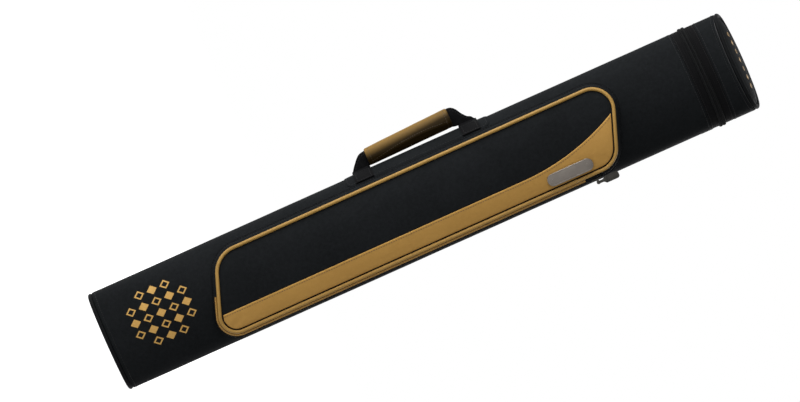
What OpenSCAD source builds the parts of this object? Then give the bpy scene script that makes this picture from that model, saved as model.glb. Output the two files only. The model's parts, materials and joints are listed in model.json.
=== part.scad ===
// Oval hard cue case standing on its base: two butt tubes and four shaft tubes inside,
// a zipped lid with a slanted end, a zipped front pocket and a soft carrying handle.
// +Z runs up the case, the pocket faces -Y and the handle is on the -X side.

/* [Tubes] */
// Bore radius of the two butt tubes
butt_r = 16.5; // [14.5:0.1:18]
// Bore radius of the four shaft tubes
shaft_r = 11.5; // [10:0.1:12.5]
// Wall of a tube
tube_t = 1; // [0.6:0.1:1.6]
// Gap between neighbouring tubes
tube_gap = 0.5; // [0.3:0.1:1.5]
// Room between the butt tubes and the shell
stack_room = 1.65; // [0.6:0.05:4]
// Foam room beside the shaft tubes
side_room = 17.3; // [14:0.1:26]
// Depth of the tube mouths below the zip
mouth_drop = 12; // [6:0.5:30]
// Thickness of a foam spacer
spacer_t = 10; // [5:0.5:20]
// Height of the low spacer above the tube ends
spacer_z = 60; // [20:1:120]

/* [Case] */
// Radius of the two narrow sides
side_r = 34; // [31:0.5:37]
// Height of the lid zip above the base
zip_z = 799.5; // [760:0.5:880]
// Thickness of the leatherette cover
cover_t = 1.6; // [1.2:0.1:2.2]
// Thickness of the rigid shell
shell_t = 2.4; // [1.6:0.1:3.2]
// Radius of the piping round both ends
rim_r = 2.75; // [2.2:0.05:3.2]
// Thickness of the base panel
base_t = 1.6; // [1:0.1:2.4]
// Thickness of the base pad under the tubes
pad_t = 6; // [3:0.5:12]
// Glue line between the layers
glue = 0.1; // [0.05:0.05:0.3]
// Running gap between moving pieces
run = 0.3; // [0.25:0.05:0.5]

/* [Lid] */
// Height of the lid rim above the zip, at the middle
lid_h = 47.5; // [42:0.5:70]
// Slant of the lid end toward the front, in degrees
lid_slant = 13.3; // [6:0.1:16]
// Thickness of the lid board
board_t = 3; // [2:0.1:5]
// Thickness of the lid pad
lid_pad_t = 6; // [3:0.5:10]
// Crown of the lid end above its edge
lid_crown = 4; // [2:0.5:8]
// Angle of the lid slider from the narrow side when parked, in degrees
park_a = 40; // [30:1:46]

/* [Lid zip] */
// Width of the zip tape on each side of the split
tape_w = 15; // [12:0.5:20]
// Depth of the tape below the cover
tape_sink = 0.3; // [0.2:0.05:0.5]
// Width of one half of the coil
coil_w = 4.2; // [3:0.1:5]
// Height of the coil over the cover
coil_h = 1.8; // [1:0.1:2.5]
// Width of the leather hinge at the back
hinge_w = 66; // [50:1:70]
// Height of the leather hinge over the cover
hinge_h = 0.9; // [0.5:0.1:1.5]
// Length of a zip slider
slider_l = 13; // [10:0.5:16]
// Thickness of a slider plate
slider_t = 1.4; // [1:0.1:2]
// Length of a puller tab
tab_l = 20; // [14:0.5:26]
// Width of a puller tab
tab_w = 9; // [7:0.5:10]
// Thickness of a puller tab
tab_t = 1.6; // [1.2:0.1:2]

/* [Pocket] */
// Distance from the handle side to the pocket piping
pocket_left = 20.5; // [18:0.5:30]
// Distance from the zip side to the pocket piping
pocket_right = 10; // [9:0.5:20]
// Height of the middle of the pocket above the base
pocket_z = 412.8; // [380:0.2:430]
// Length of the pocket along a side
pocket_l = 528; // [460:1:540]
// Lean of the pocket ends, in degrees
pocket_lean = 20; // [10:0.5:24]
// Height of the middle of the pocket over the case
pocket_h = 14; // [12:0.5:22]
// Crown of the pocket panel
pocket_crown = 8; // [5:0.5:9]
// Radius of the pocket piping
cord_r = 2.4; // [2:0.1:2.8]
// Flare of the gusset outside the piping
flare = 5.5; // [5:0.1:6.5]
// Thickness of the gusset
gusset_t = 1.4; // [1:0.1:1.8]
// Thickness of the pocket panel
panel_t = 3; // [2:0.1:4]
// Thickness of the leather laid over the panel
overlay_t = 1; // [0.8:0.1:1.6]
// Start of the overlay from the zip side piping
overlay_w = 27; // [20:0.5:34]
// Start of the overlay's sweep below the upper corner on the zip side
sweep_drop = 114; // [79:1:159]
// Radius of the overlay's sweep at the upper end
sweep_r = 285; // [220:5:340]
// Corner radius at the handle side, low end
corner_a = 33; // [24:1:36]
// Corner radius at the zip side, low end
corner_b = 20; // [16:1:24]
// Corner radius at the zip side, upper end
corner_c = 28; // [20:1:32]
// Corner radius at the handle side, upper end
corner_d = 26; // [18:1:28]
// Start of the zip on the low end, from the pocket's middle
zip_start = -1; // [-10:1:10]
// Distance of the parked pocket slider below the upper corner on the zip side
slider_drop = 30; // [30:1:80]
// Width of one half of the pocket coil
pcoil_w = 1.9; // [1.5:0.1:2.2]
// Height of the pocket coil over its tape
pcoil_h = 1.4; // [1:0.1:1.8]
// Length of the plain plate on the pocket
plate_l = 60; // [40:1:70]
// Width of the plain plate on the pocket
plate_w = 16; // [12:0.5:18]
// Thickness of the plain plate on the pocket
plate_t = 1.8; // [1.2:0.1:2.5]
// Distance of the plain plate's middle below the parked pocket slider
plate_drop = 27; // [23:1:69]

/* [Handle] */
// Height of the middle of the grip above the base
grip_z = 439.5; // [420:0.5:460]
// Length of the grip
grip_l = 113; // [95:1:130]
// Half thickness of the grip, away from the case
grip_a = 11.4; // [9:0.1:12.5]
// Half width of the grip, front to back
grip_b = 11.6; // [10:0.1:12.5]
// Gap between the grip and the patch
grip_gap = 4.6; // [4:0.1:12]
// Width of the webbing straps
strap_w = 24; // [20:0.5:26]
// Thickness of the webbing
strap_t = 1.6; // [1.2:0.1:1.8]
// Thickness of the folded legs and core
leg_t = 3.2; // [2.4:0.1:3.4]
// Gap from the grip to the upper foot
upper_foot = 5.5; // [3:0.5:12]
// Thickness of the patch under the handle
patch_t = 1; // [0.8:0.1:1.5]
// Length of the patch under the handle
patch_l = 192; // [180:1:220]
// Half angle that the patch and feet wrap round the side, in degrees
patch_a = 50; // [40:1:55]

/* [Hidden] */
$fn = 64;
arc_n = 16;
flat_n = 8;
turn_n = 7;

// Tubes and the oval that goes round them
butt_o = butt_r + tube_t;
shaft_o = shaft_r + tube_t;
butt_y = butt_o + tube_gap / 2;
shaft_y = shaft_o + tube_gap / 2;
shaft_x = sqrt(pow(butt_o + shaft_o + tube_gap, 2) - pow(butt_y - shaft_y, 2));
shell_d = cover_t + glue;
wall = shell_d + shell_t;
half_d = butt_y + butt_o + stack_room + wall;
half_w = shaft_x + shaft_o + side_room + wall;
side_c = half_w - side_r;
rise = half_d - side_r;
flat_c = (side_c * side_c - rise * rise) / (2 * rise);
flat_r = half_d + flat_c;
flat_a = atan(side_c / flat_c);
flat_x = side_c + side_r * sin(flat_a);

// Heights
rim_z = rim_r + glue;
wall_z = rim_z + rim_r + glue;
pad_z = wall_z + glue;
tube_z = pad_z + pad_t + glue;
mouth_z = zip_z - mouth_drop;
split = run / 2;
lid_z = zip_z + lid_h;
lid_drop = (rim_r + glue) / cos(lid_slant);
hinge_y = half_d + hinge_h;
reach = 6 * half_w;

// Lid slider, measured from the middle of the narrow side's arc
coil_o = side_r + coil_h;
plate_in = coil_o + 1;
plate_out = plate_in + slider_t;
eye_r = 2.2;
pin_r = 0.8;
ear_w = 1.2;
eye_w = 5;
eye_room = 0.4;
ear_h = 2.8;
ear_y = (eye_w + ear_w) / 2 + run;
pin_out = plate_out + eye_r + eye_room;
bail_z = zip_z - coil_w / 2;
slide_a = slider_l / plate_out * 180 / PI;
neck_l = slider_l / 2 + 0.7;
neck_w = 3.6;

// Pocket
pocket_x0 = -half_w + pocket_left;
pocket_x1 = half_w - pocket_right;
pocket_x = (pocket_x0 + pocket_x1) / 2;
pocket_w = (pocket_x1 - pocket_x0) / 2;
lean = tan(pocket_lean);
corner_z = pocket_z - lean * pocket_w + pocket_l / 2;
slider_z = corner_z - slider_drop;
plate_z = slider_z - plate_drop;
sweep_z = corner_z - sweep_drop;
crown_R = (pocket_w * pocket_w + pocket_crown * pocket_crown) / (2 * pocket_crown);
pocket_y = -half_d - pocket_h;
crown_y = pocket_y + crown_R;
panel_in = cord_r + 0.2;
panel_up = 0.6;
band_in = (cord_r + run) / sqrt(2);
zip_d = flare + 2.4;
gusset_d = zip_d + split + pcoil_w + 0.3;
zip_end = slider_z + slider_l / 2 + 2.5;
band_end = slider_z - slider_l / 2 - 7.5;
pplate_in = flare + pcoil_h + 0.9;
pplate_out = pplate_in + slider_t;
ppin_out = pplate_out + eye_r + eye_room + 0.4;
ppin_d = zip_d;

// Handle
patch_o = side_r + glue + patch_t;
foot_o = patch_o + glue + strap_t;
root_r = leg_t / 2 + 0.2;
pivot_x = -side_c - patch_o - run - root_r;
grip_x = -side_c - patch_o - grip_gap - grip_a;
core_a = 5;
low_foot = grip_z - grip_l / 2 - strap_w - 0.5;
high_foot = grip_z + grip_l / 2 + upper_foot;
root_a = (root_r + run + 0.3) / patch_o * 180 / PI;

// Points of an arc as [x, y, nx, ny], without its last point
function arc(cx, cy, r, a0, a1, n) = [
  for (i = [0:n - 1]) let (a = a0 + (a1 - a0) * i / n)
    [cx + r * cos(a), cy + r * sin(a), cos(a), sin(a)]
];

// The oval drawn in by d, from four arcs that meet smoothly
function oval_n(d) = concat(
  arc(side_c, 0, side_r - d, -90 + flat_a, 90 - flat_a, arc_n),
  arc(0, -flat_c, flat_r - d, 90 - flat_a, 90 + flat_a, flat_n),
  arc(-side_c, 0, side_r - d, 90 + flat_a, 270 - flat_a, arc_n),
  arc(0, flat_c, flat_r - d, 270 - flat_a, 270 + flat_a, flat_n)
);
function oval(d) = [for (p = oval_n(d)) [p[0], p[1]]];

// Front face of the case at x
function front_y(x) = abs(x) < flat_x
  ? flat_c - sqrt(flat_r * flat_r - x * x)
  : -sqrt(side_r * side_r - pow(abs(x) - side_c, 2));

// Height of the lid rim at y
function rim_at(y) = lid_z + y * tan(lid_slant);

// Middle of the pocket piping, front to back, at x
function cord_y(x) = crown_y - sqrt(crown_R * crown_R - pow(x - pocket_x, 2));

// One rounded corner as [x, z, nx, nz]
function corner(v, d1, d2, r) =
  let (turn = acos(d1 * d2), t = r * tan(turn / 2), n1 = [-d1[1], d1[0]])
  let (o = v - t * d1 + r * n1, a0 = atan2(-n1[1], -n1[0]))
  [
    for (i = [0:turn_n]) let (a = a0 + turn * i / turn_n)
      [o[0] + r * cos(a), o[1] + r * sin(a), cos(a), sin(a)]
  ];

// Points between two stations, without either end
function between(p, q, n) = [for (i = [1:n - 1]) p + (q - p) * i / n];

end_dir = [cos(pocket_lean), -sin(pocket_lean)];
end_out = [-sin(pocket_lean), -cos(pocket_lean)];
va = [pocket_x0, pocket_z + lean * pocket_w - pocket_l / 2];
vb = [pocket_x1, pocket_z - lean * pocket_w - pocket_l / 2];
vc = [pocket_x1, corner_z];
vd = [pocket_x0, pocket_z + lean * pocket_w + pocket_l / 2];
ca = corner(va, [0, -1], end_dir, corner_a);
cb = corner(vb, end_dir, [0, 1], corner_b);
cc = corner(vc, [0, 1], -end_dir, corner_c);
cd = corner(vd, -end_dir, [0, -1], corner_d);
start_x = pocket_x + zip_start;
start_p = [start_x, pocket_z - pocket_l / 2 - lean * (start_x - pocket_x), end_out[0], end_out[1]];
start_q = start_p + run * [end_dir[0], end_dir[1], 0, 0];

// Stations along the zip, up to a height on the zip side
function zip_path(z) = concat(
  [start_q], between(start_q, cb[0], 5), cb, [[pocket_x1, z, 1, 0]]
);
// Stations along the rest of the outline, from the zip's end round to its start
function rest_path() = concat(
  [[pocket_x1, zip_end, 1, 0]], cc, between(cc[turn_n], cd[0], 6), cd, ca,
  between(ca[turn_n], start_p, 6), [start_p]
);
function whole_path() = concat(
  [start_p], between(start_p, cb[0], 5), cb, [[pocket_x1, zip_end, 1, 0]], cc,
  between(cc[turn_n], cd[0], 6), cd, ca, between(ca[turn_n], start_p, 6)
);

// A point of the pocket wall, o outside the piping and d below it
function wall_at(s, o, d) = [s[0] + s[2] * o, cord_y(s[0]) + d, s[1] + s[3] * o];
// A point of the pocket wall where it meets the case
function foot_at(s, o) = [s[0] + s[2] * o, front_y(s[0] + s[2] * o) - glue, s[1] + s[3] * o];

// A skin over rings of points
module loft(rings, closed = false) {
  m = len(rings[0]);
  n = len(rings);
  pts = [for (r = rings) for (p = r) p];
  last = closed ? n - 1 : n - 2;
  sides = [
    for (i = [0:last]) for (j = [0:m - 1])
      let (i0 = i * m, i1 = ((i + 1) % n) * m, k = (j + 1) % m)
        each [[i0 + j, i0 + k, i1 + k], [i0 + j, i1 + k, i1 + j]]
  ];
  caps = closed ? [] : [
    for (j = [1:m - 2]) each [[0, j + 1, j], [(n - 1) * m, (n - 1) * m + j, (n - 1) * m + j + 1]]
  ];
  polyhedron(points = pts, faces = concat(sides, caps));
}

// A ring of the oval between two depths and two heights
module ring(d_out, d_in, z0, z1) {
  translate([0, 0, z0]) linear_extrude(z1 - z0) difference() {
    polygon(oval(d_out));
    polygon(oval(d_in));
  }
}

// A plug of the oval between two heights
module plug(d, z0, z1) {
  translate([0, 0, z0]) linear_extrude(z1 - z0) polygon(oval(d));
}

// Everything below the slanted lid end, moved up by off
module below(off) {
  translate([0, 0, lid_z + off]) rotate([lid_slant, 0, 0])
    translate([-reach / 2, -reach / 2, -reach]) cube([reach, reach, reach]);
}

// The strip at the back where the leather hinge lies
module hinge_zone(extra) {
  translate([-hinge_w / 2 - extra, 0, 0]) cube([hinge_w + 2 * extra, reach, 3 * reach]);
}

// A sector of the handle side between two radii
module side_sector(r0, r1, a0, a1, z0, z1) {
  translate([-side_c, 0, 0]) rotate([0, 0, 180 + a0]) rotate_extrude(angle = a1 - a0)
    translate([r0, z0]) square([r1 - r0, z1 - z0]);
}

module shell() {
  color("dimgray") ring(shell_d, wall, wall_z, zip_z - 2 * run);
}

module cover() {
  color("#1c1c1e") ring(0, cover_t, wall_z, zip_z - tape_w - glue);
}

module base_panel() {
  color("#1c1c1e") plug(2 * rim_r + glue, 0, base_t);
}

module base_board() {
  color("tan") plug(2 * rim_r + glue, base_t + glue, wall_z);
}

// Piping round the oval at a height, on a plane that climbs toward the back
module rim(z, slope) {
  loft([
    for (p = oval_n(rim_r)) [
      for (j = [0:9]) let (o = rim_r * cos(36 * j + 18), up = rim_r * sin(36 * j + 18))
        [p[0] + p[2] * o, p[1] + p[3] * o, z + slope * p[1] + up]
    ]
  ], closed = true);
}

module base_piping() {
  color("#151516") rim(rim_z, 0);
}

module base_pad() {
  color("gray") plug(wall + glue, pad_z, pad_z + pad_t);
}

module tube(x, y, r) {
  translate([x, y, tube_z]) difference() {
    cylinder(r = r + tube_t, h = mouth_z - tube_z);
    translate([0, 0, -1]) cylinder(r = r, h = mouth_z - tube_z + 2);
  }
}

module butt_tube_front() {
  color("#3a3a3c") tube(0, -butt_y, butt_r);
}

module butt_tube_back() {
  color("#3a3a3c") tube(0, butt_y, butt_r);
}

module shaft_tube_zip_front() {
  color("#444446") tube(shaft_x, -shaft_y, shaft_r);
}

module shaft_tube_zip_back() {
  color("#444446") tube(shaft_x, shaft_y, shaft_r);
}

module shaft_tube_handle_front() {
  color("#444446") tube(-shaft_x, -shaft_y, shaft_r);
}

module shaft_tube_handle_back() {
  color("#444446") tube(-shaft_x, shaft_y, shaft_r);
}

// A foam plate that the six tubes pass through
module spacer(z) {
  translate([0, 0, z]) linear_extrude(spacer_t) difference() {
    polygon(oval(wall + glue));
    for (s = [-1, 1]) translate([0, s * butt_y]) circle(butt_o + glue);
    for (s = [-1, 1]) for (t = [-1, 1]) translate([s * shaft_x, t * shaft_y]) circle(shaft_o + glue);
    square([2 * tube_gap, 2 * butt_y], center = true);
    for (s = [-1, 1]) translate([s * shaft_x, 0]) square([2 * shaft_o / 3, 2 * tube_gap + 1], center = true);
  }
}

module low_spacer() {
  color("slategray") spacer(tube_z + spacer_z);
}

module middle_spacer() {
  color("slategray") spacer((tube_z + mouth_z - spacer_t) / 2);
}

module mouth_plate() {
  color("#2a2a2c") spacer(mouth_z - spacer_t);
}

module case_zip_tape() {
  color("#111113") difference() {
    ring(tape_sink, cover_t, zip_z - tape_w, zip_z - split);
    hinge_zone(glue);
  }
}

module case_zip_coil() {
  color("#0c0c0e") difference() {
    ring(-coil_h, tape_sink - glue, zip_z - split - coil_w, zip_z - split);
    hinge_zone(3);
  }
}

module case_hinge_leaf() {
  color("#1c1c1e") intersection() {
    ring(-hinge_h, cover_t, zip_z - tape_w, zip_z - split);
    hinge_zone(0);
  }
}

module lid_shell() {
  color("dimgray") intersection() {
    ring(shell_d, wall, zip_z + 2 * run, lid_z + reach / 4);
    below(-lid_drop);
  }
}

module lid_cover() {
  color("#1c1c1e") intersection() {
    ring(0, cover_t, zip_z + tape_w + glue, lid_z + reach / 4);
    below(-lid_drop);
  }
}

module lid_pad() {
  color("gray") difference() {
    intersection() {
      plug(wall + glue, zip_z + 2 * run, lid_z + reach / 4);
      below(-lid_drop);
    }
    below(-lid_drop - lid_pad_t);
  }
}

module lid_board() {
  color("tan") difference() {
    intersection() {
      plug(2 * rim_r + glue, zip_z, lid_z + reach / 4);
      below(-lid_drop + glue + board_t);
    }
    below(-lid_drop + glue);
  }
}

// The crowned end grows from the edge toward the middle in steps
module lid_panel() {
  edge = 2 * rim_r + glue;
  deep = half_d - edge - 4;
  low = -lid_drop + board_t + 2 * glue;
  steps = [0, 0.06, 0.15, 0.3, 0.5, 0.75, 1];
  color("#1c1c1e") loft(concat(
    [[for (p = oval(edge)) [p[0], p[1], rim_at(p[1]) + low]]],
    [for (f = steps) [for (p = oval(edge + f * deep))
      [p[0], p[1], rim_at(p[1]) + rim_r / 2 + lid_crown * (1 - pow(1 - f, 2))]]]
  ));
}

module lid_piping() {
  color("#151516") rim(lid_z, tan(lid_slant));
}

module lid_zip_tape() {
  color("#111113") difference() {
    ring(tape_sink, cover_t, zip_z + split, zip_z + tape_w);
    hinge_zone(glue);
  }
}

module lid_zip_coil() {
  color("#0c0c0e") difference() {
    ring(-coil_h, tape_sink - glue, zip_z + split, zip_z + split + coil_w);
    hinge_zone(3);
  }
}

module lid_hinge_leaf() {
  color("#1c1c1e") intersection() {
    ring(-hinge_h, cover_t, zip_z + split, zip_z + tape_w);
    hinge_zone(0);
  }
}

// Local frame of the parked lid slider: X points out of the case
module parked() {
  translate([side_c, 0, 0]) rotate([0, 0, park_a]) children();
}

// A sector round the narrow side, centred on the parked slider
module slider_sector(r0, r1, z0, z1) {
  rotate([0, 0, -slide_a / 2]) rotate_extrude(angle = slide_a) translate([r0, z0]) square([r1 - r0, z1 - z0]);
}

// Two ears and the pin between them, from the plate's face outward along X
module bail(face, pin) {
  sink = slider_t / 2;
  for (s = [-1, 1]) translate([face - sink, s * ear_y - ear_w / 2, -ear_h / 2])
    cube([pin - face + sink + ear_h / 2, ear_w, ear_h]);
  translate([pin, 0, 0]) rotate([90, 0, 0]) cylinder(r = pin_r, h = 2 * ear_y, center = true);
}

module lid_slider() {
  flange_z = zip_z - split - coil_w - run;
  color("#6e6a66") parked() {
    slider_sector(plate_in, plate_out, flange_z - slider_t, zip_z + coil_w);
    slider_sector(side_r - tape_sink + run, plate_out, flange_z - slider_t, flange_z);
    translate([0, 0, bail_z]) bail(plate_out, pin_out);
  }
}

module lid_puller() {
  color("#746e68") parked() translate([pin_out, 0, bail_z]) difference() {
    union() {
      rotate([90, 0, 0]) cylinder(r = eye_r, h = eye_w, center = true);
      translate([-tab_t / 2, -eye_w / 2, -neck_l]) cube([tab_t, eye_w, neck_l]);
      translate([-tab_t / 2, -tab_w / 2, -neck_l - tab_l]) cube([tab_t, tab_w, tab_l]);
    }
    rotate([90, 0, 0]) cylinder(r = pin_r + run, h = eye_w + 2, center = true);
  }
}

module pocket_gusset() {
  color("#1a1a1c") loft([
    for (s = whole_path()) [
      wall_at(s, flare, gusset_d), foot_at(s, flare), foot_at(s, flare - gusset_t),
      wall_at(s, flare - gusset_t, gusset_d)
    ]
  ], closed = true);
}

module pocket_shoulder() {
  i = gusset_t / sqrt(2);
  color("#1a1a1c") loft([
    for (s = rest_path()) [
      wall_at(s, band_in, band_in), wall_at(s, flare, flare), wall_at(s, flare, gusset_d - glue),
      wall_at(s, flare - gusset_t, gusset_d - glue), wall_at(s, flare - gusset_t, flare + i / 2),
      wall_at(s, band_in - i, band_in + i)
    ]
  ]);
}

// A strip along the zip, between two depths and two distances out
module zip_strip(path, o0, o1, d0, d1) {
  loft([for (s = path) [wall_at(s, o1, d0), wall_at(s, o1, d1), wall_at(s, o0, d1), wall_at(s, o0, d0)]]);
}

module pocket_zip_tape() {
  top = zip_d + split;
  color("#111113") zip_strip(zip_path(zip_end - run), flare - gusset_t, flare, top, gusset_d - glue);
}

module pocket_zip_coil() {
  top = zip_d + split;
  color("#0c0c0e") zip_strip(zip_path(zip_end - run), flare + glue, flare + pcoil_h, top, top + pcoil_w);
}

module flap_zip_tape() {
  low = zip_d - split;
  color("#111113") zip_strip(zip_path(zip_end - run), flare - gusset_t, flare, flare + glue, low);
}

module flap_zip_coil() {
  low = zip_d - split;
  color("#0c0c0e") zip_strip(zip_path(zip_end - run), flare + glue, flare + pcoil_h, low - pcoil_w, low);
}

// The sloping band between the piping and the zip
module slope_strip(path) {
  i = gusset_t / sqrt(2);
  loft([
    for (s = path) [
      wall_at(s, band_in, band_in), wall_at(s, flare, flare), wall_at(s, flare - gusset_t, flare),
      wall_at(s, band_in - i, band_in + i)
    ]
  ]);
}

module flap_zip_band() {
  color("#9e7a41") slope_strip(zip_path(band_end));
}

module flap_zip_stop() {
  color("#1a1a1c") slope_strip([[pocket_x1, band_end + glue, 1, 0], [pocket_x1, zip_end - run, 1, 0]]);
}

module pocket_piping() {
  color("#b8924f") loft([
    for (s = whole_path()) [
      for (j = [0:7]) let (a = 22.5 - 45 * j) wall_at(s, cord_r * cos(a), cord_r * sin(a))
    ]
  ], closed = true);
}

// The outline of the panel drawn in by d, as a prism through the pocket
module panel_prism(d) {
  translate([0, pocket_y + 40, 0]) rotate([90, 0, 0]) linear_extrude(80)
    polygon([for (s = whole_path()) [s[0] - s[2] * d, s[1] - s[3] * d]]);
}

// A crowned sheet between two distances out from the piping's middle
module crown_sheet(u0, u1) {
  translate([pocket_x, crown_y, 0]) difference() {
    cylinder(r = crown_R + u1, h = zip_z, $fn = 128);
    translate([0, 0, -1]) cylinder(r = crown_R + u0, h = zip_z + 2, $fn = 128);
  }
}

module pocket_panel() {
  color("#18181a") intersection() {
    crown_sheet(panel_up - panel_t, panel_up);
    panel_prism(panel_in);
  }
}

// The overlay's side of its edge: straight up the pocket, then swept toward the handle side
module overlay_zone() {
  edge = pocket_x1 - overlay_w;
  translate([0, pocket_y + 40, 0]) rotate([90, 0, 0]) linear_extrude(80) difference() {
    translate([edge - sweep_r, 0]) square([sweep_r + 2 * overlay_w, zip_z]);
    translate([edge - sweep_r, -1]) square([sweep_r, sweep_z + 1]);
    translate([edge - sweep_r, sweep_z]) circle(sweep_r, $fn = 128);
  }
}

module pocket_overlay() {
  color("#9e7a41") intersection() {
    crown_sheet(panel_up + glue, panel_up + glue + overlay_t);
    panel_prism(panel_in + 0.6);
    overlay_zone();
  }
}

module pocket_plate() {
  px = pocket_x1 - overlay_w / 2;
  tilt = asin((px - pocket_x) / crown_R);
  up = crown_R + panel_up + overlay_t + 2 * glue;
  color("#746e68") translate([pocket_x, crown_y, plate_z]) rotate([0, 0, tilt])
    translate([-plate_w / 2, -up - plate_t, -plate_l / 2]) cube([plate_w, plate_t, plate_l]);
}

module pocket_slider() {
  y = cord_y(pocket_x1);
  back_d = zip_d + split + pcoil_w + run;
  top_d = zip_d - split - pcoil_w;
  color("#6e6a66") translate([pocket_x1, y, slider_z]) {
    translate([pplate_in, top_d, -slider_l / 2]) cube([slider_t, back_d + slider_t - top_d, slider_l]);
    translate([flare + run, back_d, -slider_l / 2]) cube([pplate_out - flare - run, slider_t, slider_l]);
    translate([0, ppin_d, 0]) bail(pplate_out, ppin_out);
  }
}

module pocket_puller() {
  y = cord_y(pocket_x1);
  color("#746e68") translate([pocket_x1 + ppin_out, y + ppin_d, slider_z]) difference() {
    union() {
      rotate([90, 0, 0]) cylinder(r = eye_r, h = eye_w, center = true);
      translate([-neck_w / 2, -tab_t / 2, 0]) cube([neck_w, tab_t, neck_l + 1]);
      translate([-tab_w / 2, -tab_t / 2, neck_l]) cube([tab_w, tab_t, tab_l]);
    }
    rotate([90, 0, 0]) cylinder(r = pin_r + run, h = eye_w + 2, center = true);
  }
}

module handle_patch() {
  z0 = grip_z - patch_l / 2 + 2.5;
  color("#1a1a1c") side_sector(side_r + glue, patch_o, -patch_a, patch_a, z0, z0 + patch_l);
}

module strap_feet() {
  color("#0e0e10") for (z = [low_foot, high_foot]) for (s = [-1, 1])
    side_sector(patch_o + glue, foot_o, s > 0 ? root_a : -patch_a, s > 0 ? patch_a : -root_a, z, z + strap_w);
}

// A folded leg in the plane of the handle, from its root to the end of the grip
module leg(z0, end_z) {
  far = z0 < end_z ? z0 : z0 + strap_w;
  near = z0 < end_z ? z0 + strap_w : z0;
  t = z0 < end_z ? 1 : -1;
  rotate([90, 0, 0]) linear_extrude(leg_t, center = true) polygon([
    [pivot_x, far + t], [pivot_x - 5, far + 1.5 * t], [grip_x - core_a, near - 9 * t],
    [grip_x - core_a, end_z + t], [grip_x + core_a, end_z + t], [grip_x + core_a, near - 2 * t],
    [pivot_x, near - t]
  ]);
  translate([pivot_x, 0, z0 + 0.5]) cylinder(r = root_r, h = strap_w - 1);
}

module handle_webbing() {
  color("#0e0e10") {
    leg(low_foot, grip_z - grip_l / 2);
    leg(high_foot, grip_z + grip_l / 2);
    translate([grip_x - core_a, -leg_t / 2, grip_z - grip_l / 2]) cube([2 * core_a, leg_t, grip_l]);
  }
}

module handle_grip() {
  color("#a5804a") translate([grip_x, 0, grip_z - grip_l / 2]) linear_extrude(grip_l) difference() {
    polygon([for (i = [0:35]) [grip_a * cos(10 * i), grip_b * sin(10 * i)]]);
    square([2 * (core_a + glue), leg_t + 2 * glue], center = true);
  }
}

shell();
cover();
base_panel();
base_board();
base_piping();
base_pad();
butt_tube_front();
butt_tube_back();
shaft_tube_zip_front();
shaft_tube_zip_back();
shaft_tube_handle_front();
shaft_tube_handle_back();
low_spacer();
middle_spacer();
mouth_plate();
case_zip_tape();
case_zip_coil();
case_hinge_leaf();
lid_shell();
lid_cover();
lid_board();
lid_pad();
lid_panel();
lid_piping();
lid_zip_tape();
lid_zip_coil();
lid_hinge_leaf();
lid_slider();
lid_puller();
pocket_gusset();
pocket_shoulder();
pocket_zip_tape();
pocket_zip_coil();
pocket_panel();
pocket_overlay();
pocket_piping();
pocket_plate();
flap_zip_band();
flap_zip_stop();
flap_zip_tape();
flap_zip_coil();
pocket_slider();
pocket_puller();
handle_patch();
strap_feet();
handle_webbing();
handle_grip();
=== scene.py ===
# %% [markdown]
# # Dressing an oval hard cue case
#
# The imported solids are a fixed frame in metres. This lesson lays leatherette, leather, webbing, zips and
# metal over that frame, one piece at a time. Most pieces are made where the frame says, ride on one of
# its bodies, and stand for the plain solid under it.

# %% Load the frame
import json
from math import acos, atan, atan2, cos, exp, hypot, pi, radians, sin, sqrt, tan

import bmesh
import bpy
from mathutils import Matrix, Vector, noise
from mathutils.bvhtree import BVHTree

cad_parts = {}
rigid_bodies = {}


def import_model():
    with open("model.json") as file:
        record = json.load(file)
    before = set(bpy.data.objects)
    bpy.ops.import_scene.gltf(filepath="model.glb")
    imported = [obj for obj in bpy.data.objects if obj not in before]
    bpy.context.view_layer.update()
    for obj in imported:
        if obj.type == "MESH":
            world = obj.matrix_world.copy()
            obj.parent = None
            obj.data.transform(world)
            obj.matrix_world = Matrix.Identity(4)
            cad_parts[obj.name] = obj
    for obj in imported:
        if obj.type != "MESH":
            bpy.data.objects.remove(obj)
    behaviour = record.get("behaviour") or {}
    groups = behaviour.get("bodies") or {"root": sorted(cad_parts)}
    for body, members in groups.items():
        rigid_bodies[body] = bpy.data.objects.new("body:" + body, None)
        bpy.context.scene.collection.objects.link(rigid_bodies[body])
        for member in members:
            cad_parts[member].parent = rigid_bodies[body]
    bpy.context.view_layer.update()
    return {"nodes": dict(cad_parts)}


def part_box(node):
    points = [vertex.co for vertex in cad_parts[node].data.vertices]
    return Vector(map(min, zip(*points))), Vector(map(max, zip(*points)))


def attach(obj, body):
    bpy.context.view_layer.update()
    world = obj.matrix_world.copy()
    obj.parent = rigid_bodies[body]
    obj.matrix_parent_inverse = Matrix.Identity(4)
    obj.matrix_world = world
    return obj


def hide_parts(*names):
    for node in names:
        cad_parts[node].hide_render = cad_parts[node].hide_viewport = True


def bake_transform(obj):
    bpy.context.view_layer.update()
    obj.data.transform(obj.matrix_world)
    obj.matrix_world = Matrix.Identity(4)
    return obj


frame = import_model()
scene = bpy.context.scene
scene.view_settings.view_transform = "Standard"
MM = 0.001

# %% [markdown]
# ## The camera
#
# The photograph looks straight at the pocket from far away, with the case turned about 24 degrees in the
# picture. A long lens at five metres gives the same weak perspective. The camera's matrix is written
# out, because its three columns are simply the picture's right, the picture's up, and the way back.

# %% Camera
ROLL, DISTANCE, AIM_X, AIM_Z = radians(24.1), 5.0, -0.0122, 0.3985
camera = bpy.data.objects.new("camera", bpy.data.cameras.new("camera"))
camera.data.sensor_width, camera.data.lens, camera.data.clip_end = 36.0, 182.8, 50
camera.matrix_world = Matrix((
    (sin(ROLL), -cos(ROLL), 0, AIM_X),
    (0, 0, -1, -DISTANCE),
    (cos(ROLL), sin(ROLL), 0, AIM_Z),
    (0, 0, 0, 1),
))
scene.collection.objects.link(camera)
scene.camera = camera
print("camera lens", camera.data.lens)

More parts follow.
